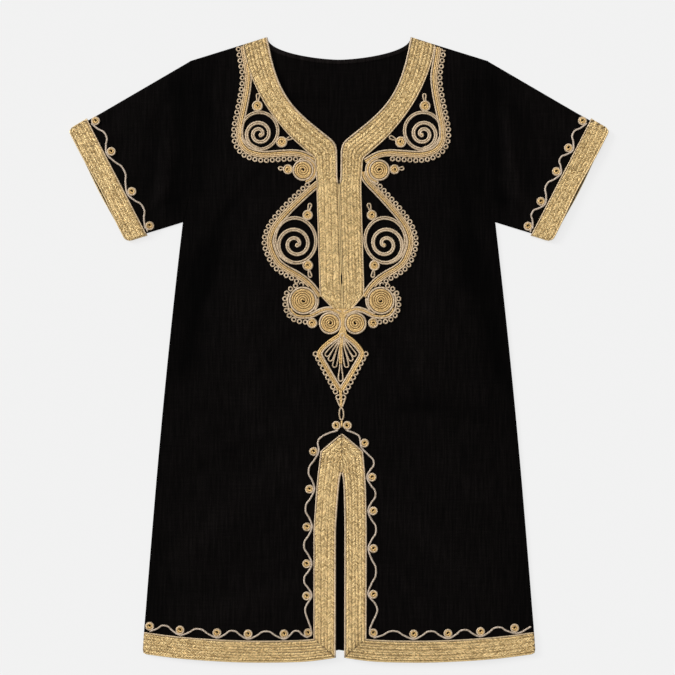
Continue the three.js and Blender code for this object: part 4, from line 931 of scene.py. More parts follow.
def add_plait(stock, band, kind, strand, closed=False):
    """Covers the braid's field with slanted strands, lane by lane, each a little different."""
    plait = PLAITS[kind]
    half_long, half_wide = plait["half"]
    points, faces = strand
    for lane in range(plait["lanes"]):
        middle = mix(*FIELD, (lane + 0.5) / plait["lanes"])
        s = np.arange((lane % 2) * plait["pitch"] / 2 + LANE_MARGIN, band.length - LANE_MARGIN, plait["pitch"])
        n = len(s)
        s = s + CHANCE.normal(0, STRAY["along"], n)
        width = band.width_at(s)
        t = middle + (LANE_SWAY * np.sin(s / LANE_WAVE + lane) + CHANCE.normal(0, STRAY["across"], n)) / width
        slant = np.radians(plait["slant"] * (1 if lane % 2 else -1) + CHANCE.normal(0, STRAY["slant"], n))
        squeeze = np.minimum(1, width / BRAID_WIDTH)
        a = points[:, 0][None, :] * (half_long * CHANCE.uniform(*STRAY["long"], n))[:, None]
        b = points[:, 1][None, :] * (half_wide * CHANCE.uniform(*STRAY["wide"], n))[:, None]
        ds = a * np.cos(slant)[:, None] - b * np.sin(slant)[:, None]
        dt = (a * np.sin(slant)[:, None] + b * np.cos(slant)[:, None]) * squeeze[:, None] / width[:, None]
        at_s = s[:, None] + ds
        at_s = at_s % band.length if closed else np.clip(at_s, STRAND_MARGIN, band.length - STRAND_MARGIN)
        at_t = np.clip(t[:, None] + dt, *FIELD_LIMITS)
        rise = STRAND_RISE + CHANCE.uniform(*STRAY["rise"], n)[:, None] + points[:, 2][None, :] * STRAND_HEIGHT
        many = strand_faces(band, faces, n, len(points))
        flat = np.stack([a, b / half_wide / 4], axis=-1).reshape(-1, 2)
        chance_and_shade = np.repeat(CHANCE.uniform(0, 1, n), len(points))
        stock.add(band.place(at_s, at_t, rise), many, flat[many], GOLD, chance_and_shade)


def strand_faces(band, faces, count, corners):
    """The faces of many copies of a strand, turned to the braid's outside."""
    many = faces[None] + (np.arange(count) * corners)[:, None, None]
    return (many[:, :, ::-1] if turned_over(band) else many).reshape(-1, 3)


def turned_over(band):
    """Whether s and t run clockwise seen from outside, so that faces have to be turned round."""
    start = band.length * 0.3
    p, q, r = band.place(np.array([start, start + 1, start]), np.array([0.4, 0.4, 0.45]), np.zeros(3))
    return float(np.cross(q - p, r - p) @ band.up_at(start)) < 0


def add_bed(stock, band):
    """The flat woven bed under the plait."""
    rows = max(3, int(band.length / BED["step"]))
    across = np.linspace(*BED["share"], BED["columns"])
    s, t = np.meshgrid(np.linspace(0, band.length, rows), across, indexing="ij")
    add_wall(stock, band.place(s, t, np.full(s.shape, BED["height"])), band.place(s, t, np.zeros(s.shape)))


def add_edge_cords(stock, band, edges, closed=False):
    """The cords along the braid's edges."""
    for edge, width, middle, tone, start, stop in edges:
        stop = min(stop, band.length)
        count = int((stop - start) / EDGE_STEP)
        s = np.linspace(start, stop, count, endpoint=not closed)
        inset = width / 2 / BRAID_WIDTH
        path = band.place(s, np.full(count, 1 - inset if edge else inset), np.full(count, middle))
        up = np.array([band.up_at(value) for value in s])
        add_tube(stock, path, width, width * EDGE_FLATNESS, tone, closed=closed, up=up)


def edge_pairs(first, second, counts):
    """Two edges given by their corners, with the same number of points on each stretch."""
    a, b = [], []
    for i, count in enumerate(counts):
        t = np.arange(count)[:, None] / count
        a.append(mix(np.array(first[i], float), np.array(first[i + 1], float), t))
        b.append(mix(np.array(second[i], float), np.array(second[i + 1], float), t))
    a.append(np.array([first[-1]], float))
    b.append(np.array([second[-1]], float))
    return np.concatenate(a), np.concatenate(b)


def neck_band(side):
    """From the shoulder round the neck, down the slit and the placket, to its tip."""
    seam = [(SLIT_HALF, SLIT_OPEN), (SEAM, SLIT_CLOSED - 3)]
    edge = [(PLACKET_EDGE, SLIT_OPEN - 6), (PLACKET_EDGE, SLIT_CLOSED - 6)]
    seam += list(zip((SEAM, EYELET_HALF, EYELET_HALF, SEAM), EYELET))
    edge += [(PLACKET_EDGE, y - 2) for y in EYELET]
    seam += [(SEAM, PLACKET_SHOULDER + 3), (SEAM, PLACKET_TIP)]
    edge += [(PLACKET_EDGE, PLACKET_SHOULDER), (TIP_HALF, PLACKET_TIP)]
    curved = catmull(NECK_INNER, 6), catmull(NECK_OUTER, 6)
    straight = edge_pairs([NECK_INNER[-1]] + seam, [NECK_OUTER[-1]] + edge, [6, 4, 20, 2, 4, 2, 4, 6])
    first = np.concatenate([curved[0][:-1], straight[0]])
    second = np.concatenate([curved[1][:-1], straight[1]])
    return Band(first, second, lambda xy, height: on_front(side, xy, height))


def vent_outer(y):
    table = sorted(VENT_EDGE)
    return np.interp(y, [row[0] for row in table], [row[1] for row in table])


def vent_inner(y):
    return front_inner(np.asarray(y, float))


VENT_FOOT_IN = float(vent_inner(-383.0))
VENT_FOOT_OUT = 33.1


def vent_band(side):
    rows = list(np.arange(-160.0, -350.0, -8.0))
    first = [(0, VENT_MITRE), (0, VENT_MITRE - 7), (0, VENT_TOP + 1)]
    second = [(0, VENT_APEX), ARCH_SHOULDER, (float(vent_outer(VENT_TOP)), VENT_TOP)]
    first += [(float(vent_inner(y)), y) for y in rows]
    second += [(float(vent_outer(y)), y) for y in rows]
    first.append((VENT_FOOT_IN, float(hem_line(VENT_FOOT_IN))))
    second.append((VENT_FOOT_OUT, float(hem_top(VENT_FOOT_OUT))))
    first, second = edge_pairs(first, second, [8, 4] + [2] * (len(rows)) + [6])
    return Band(first, second, lambda xy, height: on_front(side, xy, height))


def hem_band(side):
    seam_low, seam_high = (float(outer_edge(hem_line(HEM_HALF) + up)) + 0.5 for up in (0.5, BRAID_WIDTH - 2))
    t = np.linspace(0, 1, 60)
    low, high = mix(VENT_FOOT_IN, seam_low, t), mix(VENT_FOOT_OUT - 0.7, seam_high, t)
    first, second = np.stack([low, hem_line(low)], 1), np.stack([high, hem_top(high)], 1)

    def lay(xy, height):
        return on_front(side, np.stack(rounded_hem(xy[..., 0], xy[..., 1]), axis=-1), height)
    return Band(first, second, lay)


class FaceDown(Band):
    """A braid on the underside: it stands down from the height of its bed."""

    def place(self, s, t, height):
        placed = super().place(s, t, height)
        x, y = rounded_hem(np.abs(placed[..., 0]), placed[..., 1], BACK_HEM_RISE)
        placed[..., 0], placed[..., 1] = x * np.sign(placed[..., 0]), y
        placed[..., 2] = UNDER_LEVEL - np.asarray(height) * UNDER_SQUASH
        return placed

    def up_at(self, s):
        return np.array((0.0, 0.0, -1.0))


def back_hem_band():
    reach = float(outer_edge(HEM_SIDE_Y + 10)) - 0.6
    x = np.linspace(-reach, reach, 120)
    y = hem_line(x) + BACK_HEM_RISE
    first, second = np.stack([x, y], 1), np.stack([x, y + BRAID_WIDTH], 1)
    return FaceDown(first, second, lambda xy, height: np.concatenate([xy, xy[..., :1] * 0], axis=-1))


class CuffBand(Band):
    """The braid all round the sleeve's end: over the top, round the fold, under, and round again."""

    def __init__(self, side):
        self.side = side
        self.bend = CUFF_BEND
        self.flat = CUFF_LENGTH
        self.length = 2 * (self.flat + self.bend)

    def width_at(self, s):
        return np.full(np.shape(s), BRAID_WIDTH)

    def section(self, s):
        """At a distance round: the share of the way down the cuff, and the angle turned from straight up."""
        s = np.asarray(s, float) % self.length
        under = s >= self.flat + self.bend
        local = np.where(under, s - self.flat - self.bend, s)
        v = np.clip(local / self.flat, 0, 1)
        angle = np.clip((local - self.flat) / self.bend, 0, 1) * math.pi
        return np.where(under, 1 - v, v), np.where(under, angle + math.pi, angle)

    def place(self, s, t, height):
        v, angle = self.section(s)
        v, angle, t, height = np.broadcast_arrays(v, angle, t, height)
        above = (1 + np.cos(angle)) / 2
        distance = mix(cuff_bow(v) * (above - (1 - above) * CUFF_UNDER), BRAID_WIDTH, np.asarray(t))
        xy = cuff_line(distance, v)
        u = 1 - (1 - BRAID_SHARE) * distance / PAST_BRAID
        top = sleeve_top(self.side, xy[..., 0], xy[..., 1], u, v) + TRIM_GAP
        middle, half = (top + UNDER_LEVEL) / 2, (top - UNDER_LEVEL) / 2
        lift = half + np.asarray(height) * np.where(np.cos(angle) < -0.5, UNDER_SQUASH, 1)
        out = np.sin(angle) * lift
        z = middle + np.cos(angle) * lift
        xy = rounded_cuff(xy + CUFF_DOWN * out[..., None], CUFF_FOLD_MARGIN)
        return np.stack([self.side * xy[..., 0], xy[..., 1], z], axis=-1)

    def up_at(self, s):
        angle = float(self.section(s)[1])
        down = CUFF_DOWN * math.sin(angle)
        return np.array((self.side * down[0], down[1], math.cos(angle)))


def braid_piece(name, node, band, kind, edges, closed=False):
    """A length of braid: its bed, the cords along its edges and its plait."""
    stock = Stock()
    add_bed(stock, band)
    add_edge_cords(stock, band, EDGES[edges], closed)
    add_plait(stock, band, kind, one_strand(), closed)
    return stock.piece(name, finish_named(BRAID_GOLD), node, "braid")


# ---- Cordwork ----
class Cordwork:
    """Cord laid on one side of a surface, gathered for one piece."""

    def __init__(self, side, lay=on_front, keep=None):
        self.stock, self.side, self.lay, self.keep = Stock(), side, lay, keep
        self.sizes = bpy.context.scene.gandoura_sizes

    def cord(self, points, tone=GOLD, width=None, raised=0.0, closed=False):
        """One cord along a flat line of points. Where keep says so, the line is cut short."""
        width = width or self.sizes.cord_width
        height = min(width * 0.8, self.sizes.cord_height)
        points = np.asarray(points, float)
        if self.keep:
            for run in runs_of(self.keep(points[:, 0], points[:, 1])):
                whole = run.stop - run.start == len(points)
                self.lay_tube(points[run], tone, width, height, raised, closed and whole)
        else:
            self.lay_tube(points, tone, width, height, raised, closed)

    def lay_tube(self, points, tone, width, height, raised, closed):
        path = self.lay(self.side, points, height / 2 + raised)
        add_tube(self.stock, path, width, height, tone, closed=closed, chance_and_shade=CHANCE.uniform(0.35, 0.65))

    def ring(self, x, y, radius, width, tone=PALE, stretch=1.0, step=1.3, raised=0.0):
        count = max(11, int(2 * math.pi * radius / step))
        a = 2 * math.pi * np.arange(count) / count
        line = np.stack([x + radius * np.cos(a), y + radius * stretch * np.sin(a)], 1)
        self.cord(line, tone, width, raised, closed=True)

    def coil(self, x, y, radius, start=0.0, heart=1.0):
        """A cord wound flat from the rim to the middle, its outer turn pale."""
        width = self.sizes.cord_width
        outer = radius - width / 2
        turns = (outer - heart) / (width * COIL_PITCH)
        self.spiral(x, y, outer, heart, start, turns, [(0.0, GOLD)], width)
        self.ring(x, y, outer + 0.15, width * COIL_RIM, raised=0.1)

    def spiral(self, x, y, outer, inner, start, turns, strands, width):
        """Strands side by side along a spiral, each with its distance from the middle line and its tone."""
        count = max(14, int(turns * (8 + 0.9 * outer)))
        share = np.arange(count + 1) / count
        a = 2 * math.pi * (start + turns * share)
        for aside, tone in strands:
            r = mix(outer, inner, share) + aside
            self.cord(np.stack([x + r * np.cos(a), y + r * np.sin(a)], 1), tone, width)

    def loop(self, root, tip, half, tone=PALE, width=1.9, foot=0.8):
        """A narrow loop of cord that stands out from a root and is widest near its tip."""
        root, tip = np.array(root, float), np.array(tip, float)
        way = tip - root
        length = np.linalg.norm(way)
        way /= length
        aside = np.array((-way[1], way[0]))
        t = np.linspace(0, 1, max(6, int(length / 1.4)))
        spread = mix(foot, half, ease(t))
        body = length - half
        leg = root + np.outer(t * body, way)
        bend = np.linspace(0, math.pi, 9)[1:-1]
        round_tip = tip - way * half + np.outer(np.sin(bend) * half, way) + np.outer(np.cos(bend) * half, aside)
        line = np.concatenate([leg + np.outer(spread, aside), round_tip, (leg - np.outer(spread, aside))[::-1]])
        self.cord(line, tone, width)

    def rosette(self, x, y, radius, way=None, reach=8.0):
        """A coiled rosette, with a loop that stands out one way where it has one."""
        width = self.sizes.cord_width
        if radius > BIG_ROSETTE:
            rims = int(radius / RADIUS_PER_TURN)
            for turn in range(rims):
                self.ring(x, y, radius - turn * TURN_PITCH - width / 2, width, GOLD if turn else PALE)
            last = radius - width / 2 - (rims - 1) * TURN_PITCH
            turns = (last - ROSETTE_HEART) / TURN_PITCH
            self.spiral(x, y, last, ROSETTE_HEART, ROSETTE_START, turns, [(0.0, GOLD)], width)
        else:
            self.coil(x, y, radius, start=ROSETTE_START)
        if way is None:
            return
        d = np.array((math.cos(2 * math.pi * way), math.sin(2 * math.pi * way)))
        centre = np.array((x, y))
        self.loop(centre + d * (radius - 1.2), centre + d * (radius + reach - 0.6), LOOP_HALF)

    def rings_along(self, line, out, share=(0.0, 1.0)):
        """A row of small rings beside a line."""
        beside = offset(line, out)
        along = lengths(beside)
        count = int(round(along[-1] / RING["pitch"]))
        at = (np.arange(count) + 0.5) / count
        at = at[(at >= share[0]) & (at <= share[1])] * along[-1]
        for s in at:
            x, y = np.interp(s, along, beside[:, 0]), np.interp(s, along, beside[:, 1])
            if self.keep and not self.keep(np.array([x]), np.array([y]))[0]:
                continue
            self.ring(x, y, RING["radius"], RING["cord"], PALE, step=RING_STEP)

    def frame(self, points, share):
        """Four cords side by side, the inner one pale and a little apart, with a row of small rings outside."""
        line = smooth(points)
        width = FRAME_WIDTH / 4
        for k, tone in enumerate(FRAME_TONES):
            aside = (k - 1.5) * width - (0 if k else FRAME_PARTING)
            self.cord(offset(line, aside), tone, width * 0.97, raised=0.12 * (k % 2))
        self.rings_along(line, FRAME_WIDTH / 2 + RING["out"], share)

    def scroll(self, x, y, radius, stretch, drop, first, pitch):
        """A ring of two cords that winds on inwards as a pair of cords and ends in a knob."""
        width = self.sizes.cord_width * RIM_WIDTH
        for inset in SCROLL_RIM:
            self.ring(x, y, radius - inset * width, width, PALE, stretch, step=1.5)
        width = self.sizes.cord_width * SPIRAL_WIDTH
        last = first - pitch * SPIRAL_TURNS
        strands = [(SPIRAL_ASIDE * width, PALE), (-SPIRAL_ASIDE * width, PALE)]
        self.spiral(x, y - drop, first, last, SPIRAL_START, SPIRAL_TURNS, strands, width)
        a = 2 * math.pi * (SPIRAL_START + SPIRAL_TURNS)
        knob = last - KNOB_BACK
        self.coil(x + knob * math.cos(a), y - drop + knob * math.sin(a), KNOB_RADIUS, heart=0.5)

    def piece(self, name, node):
        return self.stock.piece(name, finish_named(CORD_GOLD), node, "cord")


def runs_of(mask):
    """Slices of a mask where it is true for at least four points on end."""
    edges = np.flatnonzero(np.diff(np.concatenate(([0], mask.astype(int), [0]))))
    return [slice(a, b) for a, b in zip(edges[::2], edges[1::2]) if b - a >= 4]


def neck_braid_edge(y):
    """How far out the neck braid's outer edge is. Below the braid it is far inside."""
    placket = [(PLACKET_EDGE, 209), (PLACKET_EDGE, PLACKET_SHOULDER), (TIP_HALF, PLACKET_TIP)]
    outer = np.array(NECK_OUTER + placket)[::-1]
    return np.interp(y, outer[:, 1], outer[:, 0], left=-60)


def clear_of_braid(x, y):
    """Whether a place is clear of the neck braid and the shoulder. Cords may tuck a little under the braid."""
    fall = (NECK[1] - SHOULDER[1]) / (SHOULDER[0] - NECK[0])
    return (x > neck_braid_edge(y) - TUCK) & (y < NECK[1] - (x - NECK[0]) * fall - SHOULDER_SPARE)


def outside_circle(x, y, circle, spare):
    """Whether a place is outside a circle and clear of it by a distance."""
    return np.hypot(x - circle[0], y - circle[1]) > circle[2] + spare


def clear_of_low_rosette(x, y):
    return clear_of_braid(x, y) & outside_circle(x, y, LOW_ROSETTE, FRAME_CLEAR)


def clear_of_centre(x, y):
    return outside_circle(np.abs(x), y, CENTRE_ROSETTE, PENDANT_CLEAR)


def round_about(circle, table):
    """Points round a circle's middle, from their directions in degrees and their distances."""
    return [(circle[0] + reach * math.cos(math.radians(way)), circle[1] + reach * math.sin(math.radians(way)))
            for way, reach in table]


# ---- Operators ----
def deselect_all():
    bpy.ops.object.select_all(action="DESELECT")


def smooth_by_angle(piece):
    """Shades a piece smooth but for its sharp edges."""
    deselect_all()
    piece.select_set(True)
    bpy.context.view_layer.objects.active = piece
    bpy.ops.object.shade_smooth_by_angle(angle=math.radians(SMOOTH_ANGLE))


def panel_rows(step, marks):
    """Heights of a panel's rows: evenly spaced ones, and those that its cut needs."""
    rows = np.arange(HEM_BEND_ROW, LAST_ROW, step)
    return np.unique(np.round(np.concatenate([rows, marks]), 3))


def half_panel(side, rows, columns, inner, rise):
    """Half a panel: x and y for its rows, and for columns from the centre line to the edge."""
    nominal = rows[:, None]
    x = mix(inner(nominal), outer_edge(nominal), columns[None, :])
    follow = 1 - np.clip((nominal - HEM_BEND_ROW) / HEM_REACH, 0, 1)
    y = nominal + (hem_line(x) - HEM_BEND_ROW + rise) * follow
    x, y = rounded_hem(x, y, rise)
    return x * side, y


def body_panel(name, node, rows, columns, inner, rise, top, fold):
    """Both halves of a panel as one closed sheet, welded along the centre line."""
    stock = Stock()
    thickness = bpy.context.scene.gandoura_sizes.cloth_thickness
    for _, side in SIDES:
        x, y = half_panel(side, rows, columns, inner, rise)
        z = top(x, y)
        shifted = x + (0 if rise else lean(x, y))
        upper = np.stack([shifted, y, z], axis=-1)
        lower = np.stack([shifted, y, z - thickness], axis=-1)
        points = np.concatenate([upper.reshape(-1, 3), lower.reshape(-1, 3)])
        faces = grid_faces(len(rows), len(columns))
        if side < 0:
            faces = faces[:, ::-1]
        n = x.size
        faces = np.concatenate([faces, faces[:, ::-1] + n])
        # The fold argument gives each point's painted shade.
        stock.add(points, faces, sheet_uvs(points, faces), 0.0, np.tile(fold(x, y).ravel(), 2))
    piece = stock.piece(name, finish_named(COTTON), node, "cotton")
    close_rims(piece, thickness)
    smooth_by_angle(piece)
    return piece


def close_rims(piece, thickness):
    """Welds points that lie together, then bridges the upper and the lower skin along the open edges."""
    work = bmesh.new()
    work.from_mesh(piece.data)
    bmesh.ops.remove_doubles(work, verts=work.verts, dist=WELD)
    bmesh.ops.dissolve_degenerate(work, dist=WELD, edges=work.edges)
    below = {}
    for vert in work.verts:
        below.setdefault((round(vert.co.x, 6), round(vert.co.y, 6)), []).append(vert)
    twins = {}
    for pair in below.values():
        if len(pair) == 2:
            pair.sort(key=lambda v: v.co.z)
            twins[pair[1]] = pair[0]
    uv = work.loops.layers.uv.active
    for edge in [e for e in work.edges if len(e.link_faces) == 1]:
        loop = edge.link_loops[0]
        a, b = loop.vert, loop.link_loop_next.vert
        if a in twins and b in twins:
            face = work.faces.new((b, a, twins[a], twins[b]))
            face.smooth = True
            for corner in face.loops:
                corner[uv].uv = (corner.vert.co.x * PER_METRE, corner.vert.co.y * PER_METRE)
    work.to_mesh(piece.data)
    work.free()
    open_edges = sum(1 for count in edge_use(piece.data).values() if count != 2)
    if open_edges:
        print(f"{piece.name}: {open_edges} open edges")


def edge_use(mesh):
    """How many faces each edge of a mesh has."""
    use = {}
    for polygon in mesh.polygons:
        for key in polygon.edge_keys:
            use[key] = use.get(key, 0) + 1
    return use


class GANDOURA_OT_stage(Operator):
    """Adds the pale floor, the soft lights and the camera straight above"""
    bl_idname = "gandoura.stage"
    bl_label = "Stage"

    def execute(self, context):
        colours = context.scene.gandoura_colours
        deselect_all()
        bpy.ops.mesh.primitive_plane_add(size=FLOOR_SIZE, location=(0, 0, FLOOR_LEVEL))
        floor = context.active_object
        floor.name = "floor"
        material, tree, shader = material_nodes("pale paper floor")
        place = add_node(tree, "ShaderNodeTexCoord").outputs["Object"]
        grain = slubs(tree, place, (3, 3, 3), 2.0)
        tone = ramp(tree, grain, [(0.3, four(colours.floor, 0.995)), (0.7, four(colours.floor))])
        tree.links.new(tone, shader.inputs["Base Color"])
        shader.inputs["Roughness"].default_value = 0.9
        shader.inputs["Specular IOR Level"].default_value = 0.0
        floor.data.materials.append(material)
        shader.inputs["Emission Color"].default_value = WHITE
        shader.inputs["Emission Strength"].default_value = FLOOR_GLOW
        for light in LIGHTS:
            add_sun(*light)
        world = bpy.data.worlds.new("even daylight")
        context.scene.world = world
        world.use_nodes = True
        background = world.node_tree.nodes["Background"]
        background.inputs[0].default_value = WHITE
        background.inputs[1].default_value = SKY
        data = bpy.data.cameras.new("camera")
        data.sensor_width, data.lens = SENSOR, LENS
        camera = bpy.data.objects.new("camera", data)
        camera.location = CAMERA_PLACE
        context.scene.collection.objects.link(camera)
        context.scene.camera = camera
        context.scene.view_settings.view_transform = "Standard"
        return {"FINISHED"}


def add_sun(name, towards, spread, strength):
    """An even light from a direction; spread is how wide its source looks, in degrees."""
    data = bpy.data.lights.new(name, "SUN")
    data.angle, data.energy = math.radians(spread), strength
    light = bpy.data.objects.new(name, data)
    light.location = towards
    light.rotation_euler = (-Vector(towards)).to_track_quat("-Z", "Y").to_euler()
    bpy.context.scene.collection.objects.link(light)


class GANDOURA_OT_body(Operator):
    """Lays the front and the back panel, with their creases"""
    bl_idname = "gandoura.body"
    bl_label = "Body cloth"

    def execute(self, context):
        step = context.scene.gandoura_sizes.cloth_step * PER_METRE
        top_rows = np.concatenate([np.arange(*SHOULDER_ROWS), [TOP_ROW]])
        front_rows = panel_rows(step, np.concatenate([CUT_ROWS, VENT_ROWS, top_rows, NECK_TABLE[::4, 1]]))
        columns = np.linspace(0, 1, int(BODY_COLUMNS / step))
        front = body_panel("cloth_front", "front", front_rows, columns, front_inner, 0.0, front_top, front_painted_shade)
        first, rise, count, crowding = BACK_NECK_ROWS
        neck_rows = first + rise * np.linspace(0, 1, count) ** crowding
        back_rows = panel_rows(step, np.concatenate([np.clip(neck_rows, 0, TOP_ROW), BACK_ROWS]))
        back = body_panel("cloth_back", "back", back_rows, columns, back_inner, BACK_HEM_RISE, back_top, back_painted_shade)
        return {"FINISHED"}


class GANDOURA_OT_sleeves(Operator):
    """Lays both sleeves as flattened tubes"""
    bl_idname = "gandoura.sleeves"
    bl_label = "Sleeves"

    def execute(self, context):
        for name, side in SIDES:
            piece = sleeve_piece(name, side)
        return {"FINISHED"}


def sleeve_net():
    """The shares u and v of the sleeve's net, closer together towards its folds."""
    sections, steps = SLEEVE_NET
    whole = np.linspace(0, 1, steps)
    v = (ease(whole) * 0.35 + whole * 0.65)[None, :]
    return np.broadcast_arrays(np.linspace(0, 1, sections)[:, None], v)


def sleeve_skins(side, xy, u, v):
    """The sleeve's outer and inner skin: each row goes over the top and comes back below."""
    x, y = xy[..., 0], xy[..., 1]
    high, low = sleeve_top(side, x, y, u, v), sleeve_under(x, y)
    width = np.linalg.norm(xy[:, 0] - xy[:, -1], axis=1)[:, None]
    near_end = np.minimum(v, 1 - v) * width
    radius = (high - low) / 2
    pinch = np.where(near_end < radius, np.sqrt(np.clip(1 - (1 - near_end / radius) ** 2, 0, 1)), 1)
    middle = (high + low) / 2
    shown = rounded_cuff(xy, 0.0)
    back = (cuff_bow(v) * np.clip((u - BRAID_SHARE) / (1 - BRAID_SHARE), 0, 1))[..., None] * CUFF_NORMAL
    skins = []
    for inward in (0.0, bpy.context.scene.gandoura_sizes.cloth_thickness):
        half = np.maximum(radius * pinch - inward, 0.02)
        upper = np.stack([side * (shown + back)[..., 0], (shown + back)[..., 1], middle + half], axis=-1)
        lower = np.stack([side * shown[..., 0], shown[..., 1], middle - half], axis=-1)
        skins.append(np.concatenate([upper, lower[:, ::-1]], axis=1))
    return skins


def sleeve_faces(side):
    """Faces of both skins, and of the rims that join them at the armhole and at the cuff."""
    sections, around = SLEEVE_NET[0], 2 * SLEEVE_NET[1]
    n = sections * around
    j = np.arange(around)
    k = (j + 1) % around
    faces = grid_faces(sections, around, wrap=True)
    rims = []
    for first in (0, (sections - 1) * around):
        quad = np.stack([first + j, first + k, n + first + k, n + first + j], axis=-1)
        rims.append(quad[:, ::-1] if first else quad)
    faces = np.concatenate([faces, faces[:, ::-1] + n] + rims)
    return faces[:, ::-1] if side > 0 else faces


def sleeve_painted_shade(side, x, y, u):
    """Painted light and shade for the sleeve's colour, for both skins: lighter on ridges, darker in troughs and near
    the armhole seam.
    """
    light = SLEEVE_PAINTED_SHADE_TABLE
    # Painted shade near the armhole seam.
    seam = light["seam"] * (1 - ease(u / light["run"]))
    fold = light["flat"] + light["crease"] * crease_height(SLEEVE_CREASES, side * x, y) - seam
    fold = np.clip(np.concatenate([fold, fold[:, ::-1]], axis=1), *PAINTED_SHADE_LIMITS)
    return np.tile(fold.ravel(), 2)


def sleeve_piece(name, side):
    """A tube pressed flat: an outer and an inner skin, joined at the armhole and at the cuff."""
    u, v = sleeve_net()
    xy = sleeve_at(u, v)
    points = np.concatenate([skin.reshape(-1, 3) for skin in sleeve_skins(side, xy, u, v)])
    faces = sleeve_faces(side)
    stock = Stock()
    stock.add(points, faces, sheet_uvs(points, faces), 0.0, sleeve_painted_shade(side, xy[..., 0], xy[..., 1], u))
    piece = stock.piece("cloth_sleeve_" + name, finish_named(COTTON), "sleeve_" + name, "cotton")
    smooth_by_angle(piece)
    return piece


class GANDOURA_OT_neck_braid(Operator):
    """Lays the plaited braid round the neck and down the placket"""
    bl_idname = "gandoura.neck_braid"
    bl_label = "Neck braid"

    def execute(self, context):
        for name, side in SIDES:
            braid_piece("braid_neck_" + name, "neck_band_" + name, neck_band(side), "broad", "neck")
        return {"FINISHED"}


class GANDOURA_OT_vent_braid(Operator):
    """Lays the plaited braid round the front vent"""
    bl_idname = "gandoura.vent_braid"
    bl_label = "Vent braid"

    def execute(self, context):
        for name, side in SIDES:
            braid_piece("braid_vent_" + name, "vent_band_" + name, vent_band(side), "broad", "vent")
        return {"FINISHED"}


class GANDOURA_OT_hem_braid(Operator):
    """Lays the plaited braid along the front hem, and face down along the back hem"""
    bl_idname = "gandoura.hem_braid"
    bl_label = "Hem braid"

    def execute(self, context):
        for name, side in SIDES:
            braid_piece("braid_hem_" + name, "hem_band_" + name, hem_band(side), "fine", "hem")
        braid_piece("braid_hem_back", "hem_band_back", back_hem_band(), "fine", "hem")
        return {"FINISHED"}


class GANDOURA_OT_cuff_braid(Operator):
    """Lays the plaited braid all round each cuff"""
    bl_idname = "gandoura.cuff_braid"
    bl_label = "Cuff braid"

    def execute(self, context):
        for name, side in SIDES:
            braid_piece("braid_cuff_" + name, "cuff_band_" + name, CuffBand(side), "broad", "cuff", closed=True)
        return {"FINISHED"}


class GANDOURA_OT_scrolls(Operator):
    """Couches the scrolls beside the neck and the placket"""
    bl_idname = "gandoura.scrolls"
    bl_label = "Scrolls"

    def execute(self, context):
        for name, side in SIDES:
            shift = side * UPPER_SHIFT
            upper = Cordwork(side, keep=clear_of_braid)
            upper.frame([(x + shift, y) for x, y in UPPER_FRAME], (0.0, UPPER_RINGS_END[name]))
            x, *rest = UPPER_SPIRAL
            upper.scroll(x + shift, *rest)
            for x, *rest in UPPER_ROSETTES:
                upper.rosette(x + shift, *rest)
            x, y, radius = UPPER_ROSETTES[2]
            a = 2 * math.pi * np.linspace(*COLLAR_SPAN, 40)
            for out, tone in COLLAR:
                r = radius + out
                upper.cord(np.stack([x + shift + r * np.cos(a), y + r * np.sin(a)], 1), tone, COLLAR_WIDTH)
            upper.piece("cord_scroll_upper_" + name, "scroll_upper_" + name)

            lower = Cordwork(side, keep=clear_of_low_rosette)
            lower.frame(LOWER_FRAME[name] + FRAME_FOOT, LOWER_RINGS)
            lower.scroll(*LOWER_SPIRAL)
            for rosette in LOWER_ROSETTES:
                lower.rosette(*rosette)
            lower.piece("cord_scroll_lower_" + name, "scroll_lower_" + name)
        return {"FINISHED"}


class GANDOURA_OT_rosettes(Operator):
    """Couches the coiled rosettes below the placket, and the tail that joins them"""
    bl_idname = "gandoura.rosettes"
    bl_label = "Rosettes"

    def execute(self, context):
        for name, side in SIDES:
            work = Cordwork(side, keep=clear_of_braid)
            work.rosette(*LOW_ROSETTE)
            work.rings_along(smooth(round_about(LOW_ROSETTE, SKIRT)), RING["out"])
            work.cord(smooth(round_about(LOW_ROSETTE, CRADLE)), PALE)
            tail = smooth(TAIL + round_about(LOW_ROSETTE, TAIL_ROUND))
            for aside, tone in TAIL_CORDS:
                line = offset(tail, aside)
                work.cord(line[outside_circle(line[:, 0], line[:, 1], LOW_ROSETTE, TAIL_CLEAR)], tone)
            work.rosette(*CENTRE_ROSETTE)
            work.rosette(*SMALL_ROSETTE)
            work.piece("cord_rosette_" + name, "rosette_" + name)
        return {"FINISHED"}


def pendant_side(work, side):
    """One side of the diamond with its rings, half of the fan, and half of the heart below."""
    line = smooth([(side * x, y) for x, y in DIAMOND])
    for aside in DIAMOND_CORDS:
        work.cord(offset(line, aside), PALE if aside * side < 0 else GOLD, DIAMOND_WIDTH)
    first, last = np.array(PENDANT_RINGS["first"]), np.array(PENDANT_RINGS["last"])
    for i in range(PENDANT_RINGS["count"]):
        x, y = mix(first, last, i / (PENDANT_RINGS["count"] - 1))
        work.ring(side * x, y, RING["radius"] + 0.2, RING["cord"], PALE, step=RING_STEP)
    for x, y in FAN_TIPS:
        work.loop(FAN_ROOT, (side * x, y), FAN_LOOP["half"], PALE, FAN_LOOP["width"], FAN_LOOP["foot"])
    work.ring(side * HEART["x"], HEART["y"], HEART["radius"], 1.9, PALE)
    work.cord(smooth([(side * x, y) for x, y in HEART_SIDE]), PALE, 2.0)


def pendant_stem(work, side):
    """The stem's cords on one side, and its half of the sheaf above the fan."""
    for line, width in ((HEART_STEM, 2.0), (FAN_STEM, 2.1)):
        work.cord(smooth([(side * x, y) for x, y in line]), GOLD, width)
    for spread in SHEAF:
        work.cord(smooth([(spread * share * side, y) for share, y in SHEAF_LINE]), GOLD, 2.2)


